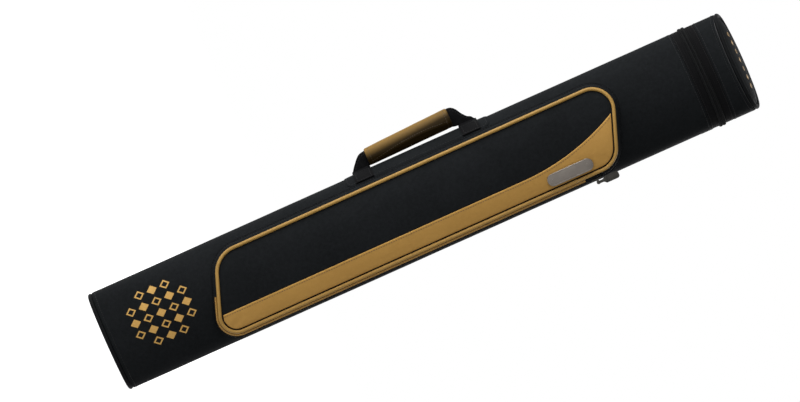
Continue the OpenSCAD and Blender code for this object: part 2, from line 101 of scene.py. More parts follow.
# %% [markdown]
# ## Shader sums
#
# A material is easier to read as a formula than as a list of nodes. The small class below wraps one
# socket: `a * b + c` adds two Math nodes, and `node` adds any other kind, settings first.

# %% A socket that can stand in a sum
def add_node(tree, kind, settings=None, links=None):
    """A node with its settings, and with its inputs linked to sockets or set to values."""
    made = tree.nodes.new(kind)
    for key, value in (settings or {}).items():
        setattr(made, key, value)
    for key, value in (links or {}).items():
        if isinstance(value, bpy.types.NodeSocket):
            tree.links.new(value, made.inputs[key])
        else:
            made.inputs[key].default_value = value
    return made


def srgb(r, g, b):
    """A colour read off the screen, 0 to 255, as linear light."""
    return tuple(((c / 255 + 0.055) / 1.055) ** 2.4 if c > 10 else c / 255 / 12.92 for c in (r, g, b)) + (1,)


class Field:
    """One socket of a material's node tree. Each operator adds one Math node."""

    def __init__(self, tree, socket):
        self.tree, self.socket = tree, socket

    def node(self, kind, settings=None, links=None, out=0):
        bare = {key: v.socket if isinstance(v, Field) else v for key, v in links.items()}
        return Field(self.tree, add_node(self.tree, kind, settings, bare).outputs[out])

    def math(self, operation, a, b=0.0):
        return self.node("ShaderNodeMath", {"operation": operation}, {0: a, 1: b})

    def __add__(self, other):
        return self.math("ADD", self, other)

    def __sub__(self, other):
        return self.math("SUBTRACT", self, other)

    def __mul__(self, other):
        return self.math("MULTIPLY", self, other)

    def sin(self):
        return self.math("SINE", self)

    def part(self, axis):
        return self.node("ShaderNodeSeparateXYZ", None, {0: self}, out=axis)

    def mix(self, dark, light):
        """From one colour to the other, each a field or red, green and blue from 0 to 255."""
        a, b = (c if isinstance(c, Field) else srgb(*c) for c in (dark, light))
        return self.node("ShaderNodeMix", {"data_type": "RGBA"}, {0: self, 6: a, 7: b}, out=2)

    def noise(self, scale, detail=2.0):
        return self.node("ShaderNodeTexNoise", None, {"Vector": self, "Scale": scale, "Detail": detail})

    def cells(self, scale, feature="SMOOTH_F1"):
        return self.node("ShaderNodeTexVoronoi", {"feature": feature}, {"Vector": self, "Scale": scale})

    def bump(self, depth, strength):
        links = {"Height": self, "Distance": depth * MM, "Strength": strength}
        return self.node("ShaderNodeBump", None, links)


print("mid grey as linear light:", round(srgb(128, 128, 128)[0], 3))

# %% [markdown]
# Every finish starts from the same Principled shader. `material` makes one, sets what stays the same all
# over, and hands back Object coordinates, the UV map and a function that links what varies.

# %% A material to start from
def material(name, **constants):
    """A material, its Object coordinates, its UV map and a function that links its shader's sockets."""
    made = bpy.data.materials.new(name)
    made.use_nodes = True
    tree = made.node_tree
    shader = tree.nodes["Principled BSDF"]
    for key, value in constants.items():
        shader.inputs[key.replace("_", " ")].default_value = value
    spot = Field(tree, tree.nodes.new("ShaderNodeTexCoord").outputs["Object"])
    weave = Field(tree, tree.nodes.new("ShaderNodeUVMap").outputs[0])

    def feed(**sockets):
        for key, field in sockets.items():
            tree.links.new(field.socket, shader.inputs[key.replace("_", " ")])

    return made, spot, weave, feed


print("shader sums ready")

# %% [markdown]
# ## Leatherette and leather
#
# The black cover is coated cloth with a fine pebble grain. Cells of about a millimetre give the pebbles,
# and a slow noise makes the coat a little duller here and there. The tan leather is smoother: its grain
# is finer, and its colour drifts softly. Both read Object coordinates, so the grain runs on from piece
# to piece. The grip's leather carries painted shade: its colour gets darker toward the case, on the side
# where less light falls.

# %% Leatherettes and leathers
def grained(name, dark, light, pebble, depth, gloss, shine, case_side_shade=None):
    """Leather-like coat: pebbles of that size in mm, bump depth in mm, roughness range and mirror level."""
    made, spot, _, feed = material(name, Specular_IOR_Level=shine)
    pebbles = spot.cells(1000 / pebble)
    pores = spot.noise(2600, 1.0)
    cloud = spot.noise(14, 3.0)
    tone = cloud * 0.45 + spot.noise(230, 2.0) * 0.35 + pebbles * 0.2
    colour = tone.mix(dark, light)
    # Painted shade: the colour darkens toward the case side of the grip, where less light falls.
    if case_side_shade:
        start, slope, half_width = case_side_shade
        inward = (spot.part(0) - spot.part(2) * slope - start) * (0.5 / half_width) + 0.5
        colour = inward.mix(colour, (40, 30, 13))
    feed(
        Base_Color=colour,
        Roughness=cloud * (gloss[1] - gloss[0]) + (gloss[0] + 0.04) - pebbles * 0.06,
        Normal=(pebbles + pores * 0.35).bump(depth, 0.55),
    )
    return made


# Painted shade on the grip's case side: where it is half done, its slope and its half width.
GRIP_SHADE = (-0.0568, -0.067, 0.006)  # X where it is half done, its slope along Z, and its half width
LEATHERS = {  # darkest and lightest colour, pebble and bump depth in mm, roughness range, mirror level
    "black_leatherette": ((4, 5, 5), (33, 35, 37), 1.1, 0.09, (0.6, 0.76), 0.02),
    "panel_leatherette": ((4, 5, 5), (33, 35, 37), 1.0, 0.10, (0.6, 0.76), 0.02),
    "rim_leatherette": ((10, 11, 11), (24, 25, 27), 0.8, 0.05, (0.5, 0.66), 0.03),
    "tan_leather": ((155, 116, 58), (184, 143, 75), 0.7, 0.05, (0.45, 0.6), 0.12),
    "tan_piping": ((139, 107, 52), (165, 130, 69), 0.6, 0.03, (0.36, 0.48), 0.16),
    "grip_leather": ((116, 89, 43), (136, 106, 55), 0.8, 0.06, (0.38, 0.5), 0.06, GRIP_SHADE),
}
black_leatherette, panel_leatherette, rim_leatherette, tan_leather, tan_piping, grip_leather = (
    grained(name, *look) for name, look in LEATHERS.items())
print("leathers:", [m.name for m in bpy.data.materials])

# %% [markdown]
# ## Webbing, tape, thread, coil and metal
#
# Webbing and zip tape are woven, so their bump follows the strip's own UV map, which is laid out in
# millimetres: a sine across times a sine along gives the small lumps where yarns cross.

# %% Woven finishes
def woven(name, dark, light, across, along, depth):
    """Cloth on a UV map in mm: yarn spacing across and along, and bump depth in mm."""
    made, spot, weave, feed = material(name, Specular_IOR_Level=0.04)
    lumps = (weave.part(0) * (pi / across)).sin() * (weave.part(1) * (pi / along)).sin() * 0.5 + 0.5
    fluff = spot.noise(900, 2.0)
    feed(
        Base_Color=(lumps * 0.6 + fluff * 0.4).mix(dark, light),
        Roughness=fluff * 0.2 + 0.62,
        Normal=(lumps + fluff * 0.3).bump(depth, 0.7),
    )
    return made


webbing = woven("webbing", (5, 5, 6), (17, 17, 18), 1.5, 1.1, 0.25)
zip_tape = woven("zip_tape", (5, 5, 6), (16, 16, 17), 0.9, 0.7, 0.1)


print("woven:", webbing.name, zip_tape.name)

# %% [markdown]
# Thread, zip teeth, plastic and board show no weave at this size. One function serves them all: a cloudy
# colour, a roughness that drifts with it, and a fine bump that keeps them from looking painted.

# %% Spun and moulded finishes
def plain(name, dark, light, scale, gloss, depth=0.02, **constants):
    """Moulded or spun finish: a cloudy colour, a roughness range and a fine bump."""
    made, spot, _, feed = material(name, **constants)
    cloud = spot.noise(scale, 3.0)
    feed(
        Base_Color=cloud.mix(dark, light),
        Roughness=cloud * (gloss[1] - gloss[0]) + gloss[0],
        Normal=spot.noise(scale * 6, 2.0).bump(depth, 0.5),
    )
    return made


black_thread = plain("black_thread", (10, 10, 11), (26, 26, 28), 1500, (0.5, 0.7), 0.03,
                     Specular_IOR_Level=0.2)
tan_thread = plain("tan_thread", (62, 42, 18), (104, 76, 36), 1500, (0.45, 0.65), 0.03)
brown_thread = plain("brown_thread", (36, 26, 12), (62, 46, 22), 1500, (0.45, 0.65), 0.03)
zip_coil = plain("zip_coil", (8, 8, 9), (20, 20, 21), 400, (0.45, 0.58), 0.01,
                 Specular_IOR_Level=0.05)
shell_plastic = plain("shell_plastic", (40, 40, 42), (58, 58, 60), 200, (0.4, 0.55))
tube_plastic = plain("tube_plastic", (46, 46, 49), (62, 62, 66), 120, (0.3, 0.42))
board = plain("board", (120, 92, 60), (158, 126, 86), 300, (0.75, 0.9), 0.06)


print("moulded and spun:", len(bpy.data.materials), "materials so far")

# %% [markdown]
# Metal gets fine scratches from a noise that is stretched along the case. Foam and flock are open cells,
# with painted shade that makes the holes darker than the walls. The gold is a print, so it is only partly
# metallic.

# %% Metal, foam and print
def brushed(name, dark, light, gloss):
    """Metal with scratches along Z."""
    made, spot, _, feed = material(name, Metallic=1.0)
    turned = spot.node("ShaderNodeMapping", None, {"Vector": spot, "Scale": (900, 900, 40)})
    scratch = turned.noise(1.0, 2.0)
    cloud = spot.noise(60, 2.0)
    feed(
        Base_Color=cloud.mix(dark, light),
        Roughness=scratch * (gloss[1] - gloss[0]) + gloss[0],
        Normal=scratch.bump(0.02, 0.35),
    )
    return made


def spongy(name, dark, light, cell, depth, sheen):
    """Foam or flock: open cells of that size in mm."""
    made, spot, _, feed = material(name, Specular_IOR_Level=0.1, Sheen_Weight=sheen)
    holes = spot.cells(1000 / cell, "F1")
    feed(
        # Painted shade: the hollows of the cells are coloured darker than the walls.
        Base_Color=holes.mix(light, dark),
        Roughness=spot.noise(300, 2.0) * 0.1 + 0.85,
        Normal=holes.bump(depth, 0.6),
    )
    return made


gunmetal = brushed("gunmetal", (92, 87, 82), (122, 116, 110), (0.28, 0.46))
black_nickel = brushed("black_nickel", (34, 33, 31), (56, 55, 52), (0.22, 0.38))
foam = spongy("foam", (34, 34, 36), (66, 66, 69), 0.9, 0.2, 0.0)
flock = spongy("flock", (24, 24, 26), (44, 44, 47), 0.35, 0.1, 0.35)
gold_print = plain("gold_print", (150, 112, 48), (186, 146, 72), 500, (0.38, 0.55), 0.03, Metallic=0.25)
print("materials:", len(bpy.data.materials))

# %% [markdown]
# ## Floor, white surround and soft lamps
#
# The photograph's background is plain white. The world is white for the camera and for mirrors only, and
# gives the object a plain level of light. The floor glows a little for them, so that it is white too, and
# still takes the object's shadow.

# %% Studio
AMBIENT, FLOOR_GLOW, WHITE = 0.28, 0.76, (1, 1, 1, 1)
FLOOR = 9  # half its side in m


def seen_rays(tree):
    """1 for rays from the camera, from mirrors and through glass, and 0 for light on the object."""
    path = tree.nodes.new("ShaderNodeLightPath").outputs
    camera_ray, mirrored, through = (
        Field(tree, path[f"Is {kind} Ray"]) for kind in ("Camera", "Glossy", "Transmission"))
    return camera_ray.math("MAXIMUM", camera_ray.math("MAXIMUM", camera_ray, mirrored), through)


world = bpy.data.worlds.new("studio")
world.use_nodes = True
scene.world = world
background = world.node_tree.nodes["Background"].inputs
background["Color"].default_value = WHITE
sky = seen_rays(world.node_tree) * (1 - AMBIENT) + AMBIENT
world.node_tree.links.new(sky.socket, background["Strength"])

floor_white, ground, _, feed = material("floor_white", Base_Color=(0.9, 0.9, 0.9, 1), Roughness=0.9,
                                        Specular_IOR_Level=0.0, Emission_Color=WHITE)
feed(Emission_Strength=seen_rays(ground.tree) * FLOOR_GLOW)
floor_mesh = bpy.data.meshes.new("floor")
floor_mesh.from_pydata([(x * FLOOR, y * FLOOR, 0) for x, y in ((-1, -1), (1, -1), (1, 1), (-1, 1))], [],
                       [(0, 1, 2, 3)])
floor_mesh.materials.append(floor_white)
floor = bpy.data.objects.new("floor", floor_mesh)
scene.collection.objects.link(floor)
CASE_MIDDLE = Vector((0, 0, 0.42))


def lamp(name, place, size, power):
    """A square soft lamp that faces the middle of the case."""
    made = bpy.data.objects.new(name, bpy.data.lights.new(name, "AREA"))
    made.data.size, made.data.energy = size, power
    aim = CASE_MIDDLE - Vector(place)
    made.matrix_world = Matrix.Translation(place) @ aim.to_track_quat("-Z", "Y").to_matrix().to_4x4()
    scene.collection.objects.link(made)


lamp("key_lamp", (-1.9, -1.6, 1.2), 1.2, 29)
lamp("side_lamp", (-2.2, -0.5, 0.8), 1.0, 40)
lamp("front_lamp", (-0.4, -3.2, 1.3), 2.2, 17)
lamp("back_lamp", (1.0, 2.2, 1.5), 1.6, 26)
print("lamps:", len(bpy.data.lights))

# %% [markdown]
# ## Shapes from rings and grids
#
# Almost every piece here is a strip that follows the oval or the pocket's outline. Three helpers do most of
# the work: `skin` joins rings of points, `sheet` closes a grid of outer and inner points, and `build`
# turns the result into an object that rides on its body and stands for its solid.

# %% Skins and sheets
def skin(rings, loop=False):
    """Closed rings of points joined one after the other, with flat ends or as one endless loop."""
    m, n = len(rings[0]), len(rings)
    verts = [p for ring in rings for p in ring]
    faces = []
    for i in range(n if loop else n - 1):
        a, b = i * m, ((i + 1) % n) * m
        faces += [(a + j, a + (j + 1) % m, b + (j + 1) % m, b + j) for j in range(m)]
    if not loop:
        faces += [tuple(range(m)), tuple(range(m * n - m, m * n))]
    return verts, faces


def sheet(pairs):
    """A closed sheet from a grid of (outer, inner) pairs of points."""
    n, m = len(pairs), len(pairs[0])
    back = n * m
    verts = [pair[side] for side in (0, 1) for line in pairs for pair in line]
    faces = []
    for i in range(n - 1):
        for j in range(m - 1):
            k = i * m + j
            faces += [(k, k + 1, k + m + 1, k + m), (back + k, back + k + m, back + k + m + 1, back + k + 1)]
    edge = list(range(m)) + [i * m + m - 1 for i in range(1, n)]
    edge += [(n - 1) * m + j for j in range(m - 2, -1, -1)] + [i * m for i in range(n - 2, 0, -1)]
    return verts, faces + [(a, back + a, back + b, b) for a, b in zip(edge, edge[1:] + edge[:1])]


def thicken(rows, t):
    """A closed sheet of thickness t round the grid that runs through its middle."""
    n, m = len(rows), len(rows[0])
    grid = [[Vector(p) for p in row] for row in rows]
    pairs = []
    for i in range(n):
        up = [grid[min(i + 1, n - 1)][j] - grid[max(i - 1, 0)][j] for j in range(m)]
        over = [grid[i][min(j + 1, m - 1)] - grid[i][max(j - 1, 0)] for j in range(m)]
        out = [u.cross(v).normalized() * (t / 2) for u, v in zip(up, over)]
        pairs.append([(p + o, p - o) for p, o in zip(grid[i], out)])
    return sheet(pairs)


print("a prism of two triangles:", len(skin([[(0, 0, 0)] * 3] * 2)[1]), "faces")

# %% [markdown]
# A shape becomes a piece in one place. `build` makes a mesh of points in millimetres, turns its faces
# outward and shades it smooth but for sharp edges.

# %% From a shape to a piece
def link(name, mesh, finish):
    """A new object at the origin with this mesh and finish."""
    mesh.materials.clear()
    mesh.materials.append(finish)
    made = bpy.data.objects.new(name, mesh)
    scene.collection.objects.link(made)
    return made


def settle(made, body=None, nodes=()):
    """What the frame has to know about a finished piece."""
    if body:
        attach(made, body)
    if nodes:
        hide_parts(*nodes)
    return made


def build(name, shape, finish, body=None, nodes=(), sharp=38, uv=None):
    """An object from points in mm and faces, with faces turned outward and smooth shading."""
    verts, faces = shape
    mesh = bpy.data.meshes.new(name)
    mesh.from_pydata([(x * MM, y * MM, z * MM) for x, y, z in verts], [], faces)
    if uv:
        layer = mesh.uv_layers.new(name="weave")
        for corner in mesh.loops:
            layer.data[corner.index].uv = uv[corner.vertex_index]
    work = bmesh.new()
    work.from_mesh(mesh)
    bmesh.ops.remove_doubles(work, verts=work.verts, dist=1e-6)
    bmesh.ops.recalc_face_normals(work, faces=work.faces)
    work.to_mesh(mesh)
    work.free()
    mesh.shade_smooth()
    mesh.set_sharp_from_angle(angle=radians(sharp))
    print(name, len(mesh.polygons), "faces")
    return settle(link(name, mesh, finish), body, nodes)


def surface(made):
    """The faces of a finished piece in mm, for rays."""
    mesh = made.data
    faces = [tuple(p.vertices) for p in mesh.polygons]
    return BVHTree.FromPolygons([v.co / MM for v in mesh.vertices], faces)


print("pieces go to", scene.collection.name)

# %% [markdown]
# Nothing sewn is quite even. `dent` gives a soft random height at a point, always the same one there.
# Straps hang in smooth lines, and `curve_through` draws one through a few chosen points.

# %% Dents and smooth lines
def dent(p, size, depth, seed=0.0):
    """A soft random height at a point in mm."""
    return depth * noise.noise(Vector((p[0] + seed, p[1] - seed, p[2])) / size)


def curve_through(points, n):
    """n + 1 points on a smooth curve through these points."""
    pts = [Vector(p) for p in points]
    pts = [2 * pts[0] - pts[1]] + pts + [2 * pts[-1] - pts[-2]]
    spans = len(points) - 1
    path = []
    for k in range(n + 1):
        f = spans * k / n
        i = min(int(f), spans - 1)
        t = f - i
        a, b, c, d = pts[i:i + 4]
        path.append(0.5 * (2 * b + t * (c - a) + t * t * (2 * a - 5 * b + 4 * c - d)
                           + t ** 3 * (3 * b - a - 3 * c + d)))
    return path


print("points on a line:", len(curve_through([(0, 0, 0), (1, 0, 0), (1, 1, 0)], 8)))

# %% [markdown]
# ## Rows along a path: stitches and zip teeth
#
# A seam is the same stitch hundreds of times, and a zip the same tooth. That is work for Geometry Nodes: the
# path is a line of edges, each point carries the direction that faces out, and the tree sets one small
# rounded bead at every step of the pitch. The modifier is then turned into a plain mesh, because
# instances don't survive an export.

# %% The row tree
def row_tree():
    tree = bpy.data.node_groups.new("row_along_a_path", "GeometryNodeTree")
    sockets = {}
    for name, kind in (("Path", "Geometry"), ("Pitch", "Float"), ("Size", "Vector"), ("Lean", "Float"),
                       ("Finish", "Material")):
        sockets[name] = tree.interface.new_socket(name, in_out="INPUT", socket_type="NodeSocket" + kind)
    tree.interface.new_socket("Row", in_out="OUTPUT", socket_type="NodeSocketGeometry")

    def add(kind, settings=None, links=None):
        return add_node(tree, kind, settings, links)

    given = add("NodeGroupInput").outputs
    line = add("GeometryNodeMeshToCurve", None, {0: given["Path"]})
    steps = add("GeometryNodeCurveToPoints", {"mode": "LENGTH"},
                {"Curve": line.outputs[0], "Length": given["Pitch"]})
    out = add("GeometryNodeInputNamedAttribute", {"data_type": "FLOAT_VECTOR"}, {"Name": "out"})
    along = add("FunctionNodeAlignRotationToVector", {"axis": "X"}, {"Vector": steps.outputs["Tangent"]})
    upright = add("FunctionNodeAlignRotationToVector", {"axis": "Z", "pivot_axis": "X"},
                  {"Rotation": along.outputs[0], "Vector": out.outputs[0]})
    lean = add("ShaderNodeCombineXYZ", None, {"Z": given["Lean"]})
    by = add("FunctionNodeEulerToRotation", None, {0: lean.outputs[0]})
    turned = add("FunctionNodeRotateRotation", {"rotation_space": "LOCAL"},
                 {"Rotation": upright.outputs[0], "Rotate By": by.outputs[0]})
    bead = add("GeometryNodeMeshUVSphere", None, {"Segments": 8, "Rings": 5, "Radius": 0.5})
    row = add("GeometryNodeInstanceOnPoints", None, {
        "Points": steps.outputs["Points"], "Instance": bead.outputs["Mesh"],
        "Rotation": turned.outputs[0], "Scale": given["Size"]})
    real = add("GeometryNodeRealizeInstances", None, {0: row.outputs[0]})
    smooth = add("GeometryNodeSetShadeSmooth", None, {0: real.outputs[0]})
    painted = add("GeometryNodeSetMaterial", None, {0: smooth.outputs[0], "Material": given["Finish"]})
    add("NodeGroupOutput", None, {0: painted.outputs[0]})
    return tree, {name: socket.identifier for name, socket in sockets.items()}


ROW, ROW_INPUT = row_tree()
print("row inputs:", list(ROW_INPUT))

# %% [markdown]
# The one tree serves every seam and zip. `path_of` sorts points and their outward directions, and `row` lays
# beads along them. Most rows are black stitches, so that is what it makes unless it is told otherwise.

# %% A row of beads
STITCH = (2.5, 0.75, 0.6)
STITCH_PITCH = 3.4


def path_of(spots, closed=False):
    """A path for a row, from pairs of a point and the way out there."""
    return [p for p, _ in spots], [out for _, out in spots], closed


def row(name, paths, body, pitch=STITCH_PITCH, size=STITCH, finish=black_thread, nodes=(), slot=None,
        lean=0.0):
    """Beads of size (along, across, high) in mm every pitch along paths of (points, outs, closed)."""
    verts, outs, edges = [], [], []
    for points, faces_out, closed in paths:
        first = len(verts)
        verts += [tuple(c * MM for c in p) for p in points]
        outs += [tuple(o) for o in faces_out]
        edges += [(i, i + 1) for i in range(first, len(verts) - 1)]
        if closed:
            edges.append((len(verts) - 1, first))
    mesh = bpy.data.meshes.new(name + "_path")
    mesh.from_pydata(verts, edges, [])
    out = mesh.attributes.new("out", "FLOAT_VECTOR", "POINT")
    out.data.foreach_set("vector", [c for o in outs for c in o])
    made = link(name, mesh, finish)
    beads = made.modifiers.new("row", "NODES")
    beads.node_group = ROW
    for key, value in (("Pitch", pitch * MM), ("Size", tuple(c * MM for c in size)), ("Lean", radians(lean)),
                       ("Finish", finish)):
        beads[ROW_INPUT[key]] = value
    plain_mesh = bpy.data.meshes.new_from_object(made.evaluated_get(bpy.context.evaluated_depsgraph_get()))
    made.modifiers.clear()
    made.data = plain_mesh
    bpy.data.meshes.remove(mesh)
    if "out" in plain_mesh.attributes:
        plain_mesh.attributes.remove(plain_mesh.attributes["out"])
    print(name, len(plain_mesh.polygons), "faces in", len(paths), "rows")
    return settle(made, body, nodes)


print("stitch", STITCH, "every", STITCH_PITCH, "mm")

# %% [markdown]
# ## The oval
#
# The case is an oval of four arcs that meet smoothly: two narrow sides and two flatter faces. Each point
# comes with its outward direction, so drawing the oval in by a depth is one multiplication.

# %% The oval's points
low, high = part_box("cover")
half_w, half_d = high.x / MM, high.y / MM
side_r = 34.0
side_c = half_w - side_r
rise = half_d - side_r
flat_c = (side_c ** 2 - rise ** 2) / (2 * rise)
flat_r = half_d + flat_c
flat_a = atan(side_c / flat_c)
flat_x = side_c + side_r * sin(flat_a)


def arc(cx, cy, r, a0, a1, n):
    """n points of an arc without its last one, as (x, y, out x, out y)."""
    angles = [a0 + (a1 - a0) * i / n for i in range(n)]
    return [(cx + r * cos(a), cy + r * sin(a), cos(a), sin(a)) for a in angles]


def oval(narrow=40, flat=44):
    """The oval from the middle of its back, by way of the handle side, the front and the zip side."""
    turn = pi / 2 - flat_a
    return (arc(0, -flat_c, flat_r, pi / 2, pi / 2 + flat_a, flat // 2)
            + arc(-side_c, 0, side_r, pi - turn, pi + turn, narrow)
            + arc(0, flat_c, flat_r, 3 * pi / 2 - flat_a, 3 * pi / 2 + flat_a, flat)
            + arc(side_c, 0, side_r, -turn, turn, narrow)
            + arc(0, -flat_c, flat_r, pi / 2 - flat_a, pi / 2, flat // 2))


def front_y(x):
    """The front face of the case at x."""
    if abs(x) < flat_x:
        return flat_c - sqrt(flat_r ** 2 - x * x)
    return -sqrt(max(side_r ** 2 - (abs(x) - side_c) ** 2, 0))


def level(z, y):
    """A height that is given as a number or as a function of y."""
    return z(y) if callable(z) else z


def inward(station, d, z):
    """One point of the oval drawn in by d, at height z."""
    x, y, nx, ny = station
    return x - nx * d, y - ny * d, z


def drawn_in(stations, d, z):
    """The oval's points at depth d and height z, a number or a function of y."""
    return [inward(s, d, level(z, s[1] - s[3] * d)) for s in stations]


def oval_row(z, d=0.0, stations=None, closed=True):
    """A path for stitches round the oval."""
    stations = stations or oval()
    return drawn_in(stations, d, z), [(nx, ny, 0) for _, _, nx, ny in stations], closed


OVAL = oval()
print("oval", round(2 * half_w, 2), "by", round(2 * half_d, 2), "mm,", len(OVAL), "points")

# %% [markdown]
# ## The cover of the body
#
# Leatherette is glued round the rigid shell and lapped over itself at the middle of the back. A profile
# swept round the oval gives its rolled edges at the base and at the zip. A very soft unevenness lets the
# light break as it does on a real wrapped shell. A simple tube would look like painted metal.

# %% Body cover
zip_z, tape_w, cover_t, glue, run = 799.5, 15.0, 1.6, 0.1, 0.3
wall_z, rim_r = 5.7, 2.75
cover_top = zip_z - tape_w - glue
LAP = 0.45
ROLLED = [(0.0, 0.9), (0.25, 0.3), (0.9, 0.0)]  # from an edge inward, and how deep
SUNK, SLOW, FINE = 0.12, (90, 0.16), (30, 0.05, 7)  # depth under the solid, then size and depth of two dents
TOP_SEAM, FOOT_SEAM = 2.6, 4.2  # from an edge of the cover


def cover_skin(z_low, z_top, steps):
    """A wrapped skin between two heights, each a number or a function of y."""
    rings = []
    for k, s in enumerate(OVAL + [(0, half_d, 0, 1)]):
        z0, z1 = level(z_low, s[1]), level(z_top, s[1])
        heights = [(z0 + up, d) for up, d in ROLLED]
        heights += [(z0 + 2 + (z1 - z0 - 4) * i / steps, 0.0) for i in range(steps + 1)]
        heights += [(z1 - up, d) for up, d in reversed(ROLLED)]
        lap = 0.0 if k else LAP
        ring = []
        for z, d in heights:
            p = (s[0], s[1], z)
            ring.append(inward(s, d + lap + SUNK + dent(p, *SLOW) + dent(p, *FINE), z))
        rings.append(ring + [inward(s, cover_t, z1), inward(s, cover_t, z0)])
    return skin(rings)


body_cover = build("body_cover", cover_skin(wall_z, cover_top, 90), black_leatherette, "case", ["cover"])
back_seam = path_of([((1.8, half_d - 0.02, z), (0, 1, 0)) for z in range(16, 776, 8)])
row("body_stitches", [oval_row(cover_top - TOP_SEAM), oval_row(wall_z + FOOT_SEAM), back_seam], "case")

# %% [markdown]
# ## Base and its piping
#
# Piping is a cord in a folded strip of leatherette, sewn in where two panels meet. It is a round profile
# swept round the oval, with slight puckers where the strip is eased round the narrow sides. The base
# panel lies inside it and is drawn in at its seam.

# %% Base
rim_z = rim_r + glue


def rim_piping(z_of, sides=14):
    """A closed cord round the oval, with its middle at height z_of(y)."""
    rings = []
    for k, (x, y, nx, ny) in enumerate(OVAL):
        pucker = 0.07 * sin(k * 1.9) * (1 - abs(ny))
        ring = []
        for j in range(sides):
            a = 2 * pi * j / sides
            o = rim_r * cos(a) * (1 - pucker / rim_r) - rim_r
            ring.append((x + nx * o, y + ny * o, z_of(y - ny * rim_r) + (rim_r - 0.02) * sin(a)))
        rings.append(ring)
    return skin(rings, loop=True)


def end_panel(z_of, depths, heights):
    """A panel inside the piping: rings of the oval drawn in, each at its own height over z_of(y)."""
    return skin([drawn_in(OVAL, d, lambda y, h=h: z_of(y) + h) for d, h in zip(depths, heights)])


build("base_rim", rim_piping(lambda y: rim_z), rim_leatherette, "case", ["base_piping"])
base_d, base_h = [5.7, 5.7, 6.4, 8, 11, 30, 34], [1.6, 0.7, 0.25, 0.06, 0.02, 0.0, 0.0]
build("base_end", end_panel(lambda y: 0, base_d, base_h), black_leatherette, "case", ["base_panel"])
row("base_stitches", [(drawn_in(OVAL, 9.5, 0.12), [(0, 0, -1)] * len(OVAL), True)], "case")

# %% [markdown]
# ## The lid
#
# The lid is the same oval cut off on a slant, so its end faces a little toward the front. Every height is
# a function of y, and the same helpers sweep the cover, the piping and the crowned end panel.

# %% Lid
lid_h, lid_slant, lid_crown = 47.5, radians(13.3), 4.0
slope = tan(lid_slant)
lid_drop = rim_z / cos(lid_slant)
lid_low = zip_z + tape_w + glue


def lid_rim(y):
    """Height of the middle of the lid's piping."""
    return zip_z + lid_h + y * slope


def lid_top(y):
    """Height of the upper edge of the lid's cover."""
    return lid_rim(y) - lid_drop


build("lid_cover_skin", cover_skin(lid_low, lid_top, 12), black_leatherette, "lid", ["lid_cover"])
build("lid_rim", rim_piping(lid_rim), rim_leatherette, "lid", ["lid_piping"])
seat_d, reach = 5.6, 31.4
crown_d = [seat_d, seat_d, 6.2, 7.5, 9.5, 12, 15, 19, 23, 27, 31, 33.5]
crown_h = [-0.5, 0.2, 0.75, 1.3, 1.9] + [
    1.375 + lid_crown * (1 - (1 - (d - seat_d) / reach) ** 2) for d in crown_d[5:]]
lid_end = build("lid_end", end_panel(lid_rim, crown_d, crown_h), black_leatherette, "lid", ["lid_panel"])
row("lid_stitches", [oval_row(lid_low + TOP_SEAM), oval_row(lambda y: lid_top(y) - 3.6)], "lid")

# %% [markdown]
# ## The zip round the lid
#
# Each half of the zip is a woven tape with three ribs and a nylon coil along its edge. The tape is a ribbed
# profile swept round the oval as far as the hinge. The coil is a low core with rows of beads on it, which
# lean one way on the body and the other way on the lid, as a closed coil does.

# %% Lid zip
hinge_half, split, coil_w = 33.0, 0.15, 4.2
tape_l = tape_w - split


def back_station(x):
    """The oval's point on the back at x."""
    a = acos(x / flat_r)
    return x, flat_r * sin(a) - flat_c, cos(a), sin(a)


def zip_stations(clear):
    """The oval outside the hinge, from its handle side round the front to its zip side."""
    edge = hinge_half + clear
    return ([back_station(-edge)] + [s for s in oval(60, 60) if s[1] < 0 or abs(s[0]) > edge + 0.3]
            + [back_station(edge)])


TAPE_RUN, COIL_RUN = zip_stations(0.1), zip_stations(3.0)
RIBS, RIB_H, RIB_W, TAPE_D = (6.2, 8.8, 11.4), 0.26, 0.6, 0.34
COIL_PITCH, COIL_BEAD = 1.55, (1.5, 3.9, 1.9)


def tape_ring(side):
    """Ribbed tape on one side of the split: -1 for the body, 1 for the lid."""
    steps = [tape_l * i / 44 for i in range(45)]
    rings, uv, run_v = [], [], 0.0
    for k, at in enumerate(TAPE_RUN):
        if k:
            run_v += hypot(at[0] - TAPE_RUN[k - 1][0], at[1] - TAPE_RUN[k - 1][1])
        across = [(s, TAPE_D - RIB_H * sum(exp(-((s - rib) / RIB_W) ** 2) for rib in RIBS)) for s in steps]
        across += [(tape_l, cover_t), (0.0, cover_t)]
        rings.append([inward(at, d, zip_z + side * (split + s)) for s, d in across])
        uv += [(s, run_v) for s, _ in across]
    return skin(rings), uv


def coil_core(side):
    """The low cord under the coil's beads."""
    profile = [(0.25, 0.0), (-0.7, 0.1), (-1.2, 0.9), (-1.3, 2.0), (-1.1, 3.2), (-0.5, 4.0), (0.25, coil_w)]
    return skin([[inward(at, d, zip_z + side * (split + s)) for d, s in profile] for at in COIL_RUN])


for body, side, lean in (("case", -1, 16), ("lid", 1, -16)):
    shape, uv = tape_ring(side)
    build(body + "_tape", shape, zip_tape, body, [body + "_zip_tape"], uv=uv)
    build(body + "_coil_core", coil_core(side), zip_coil, body, [body + "_zip_coil"])
    row(body + "_coil", [oval_row(zip_z + side * 2.2, -0.75, COIL_RUN, False)], body, COIL_PITCH, COIL_BEAD,
        zip_coil, slot="zip_coil", lean=lean)
    row(body + "_tape_stitches", [oval_row(zip_z + side * 13.4, 0.3, TAPE_RUN, False)], body, 2.6,
        (1.9, 0.5, 0.4))

# %% [markdown]
# ## The leather hinge
#
# At the back the zip stops, and a strip of leatherette joins the body and the lid.

# %% Hinge strip
HINGE_SEAM = 3.2  # from the strip's edge
STRIP_UP, THREAD_UP = 0.88, 0.86


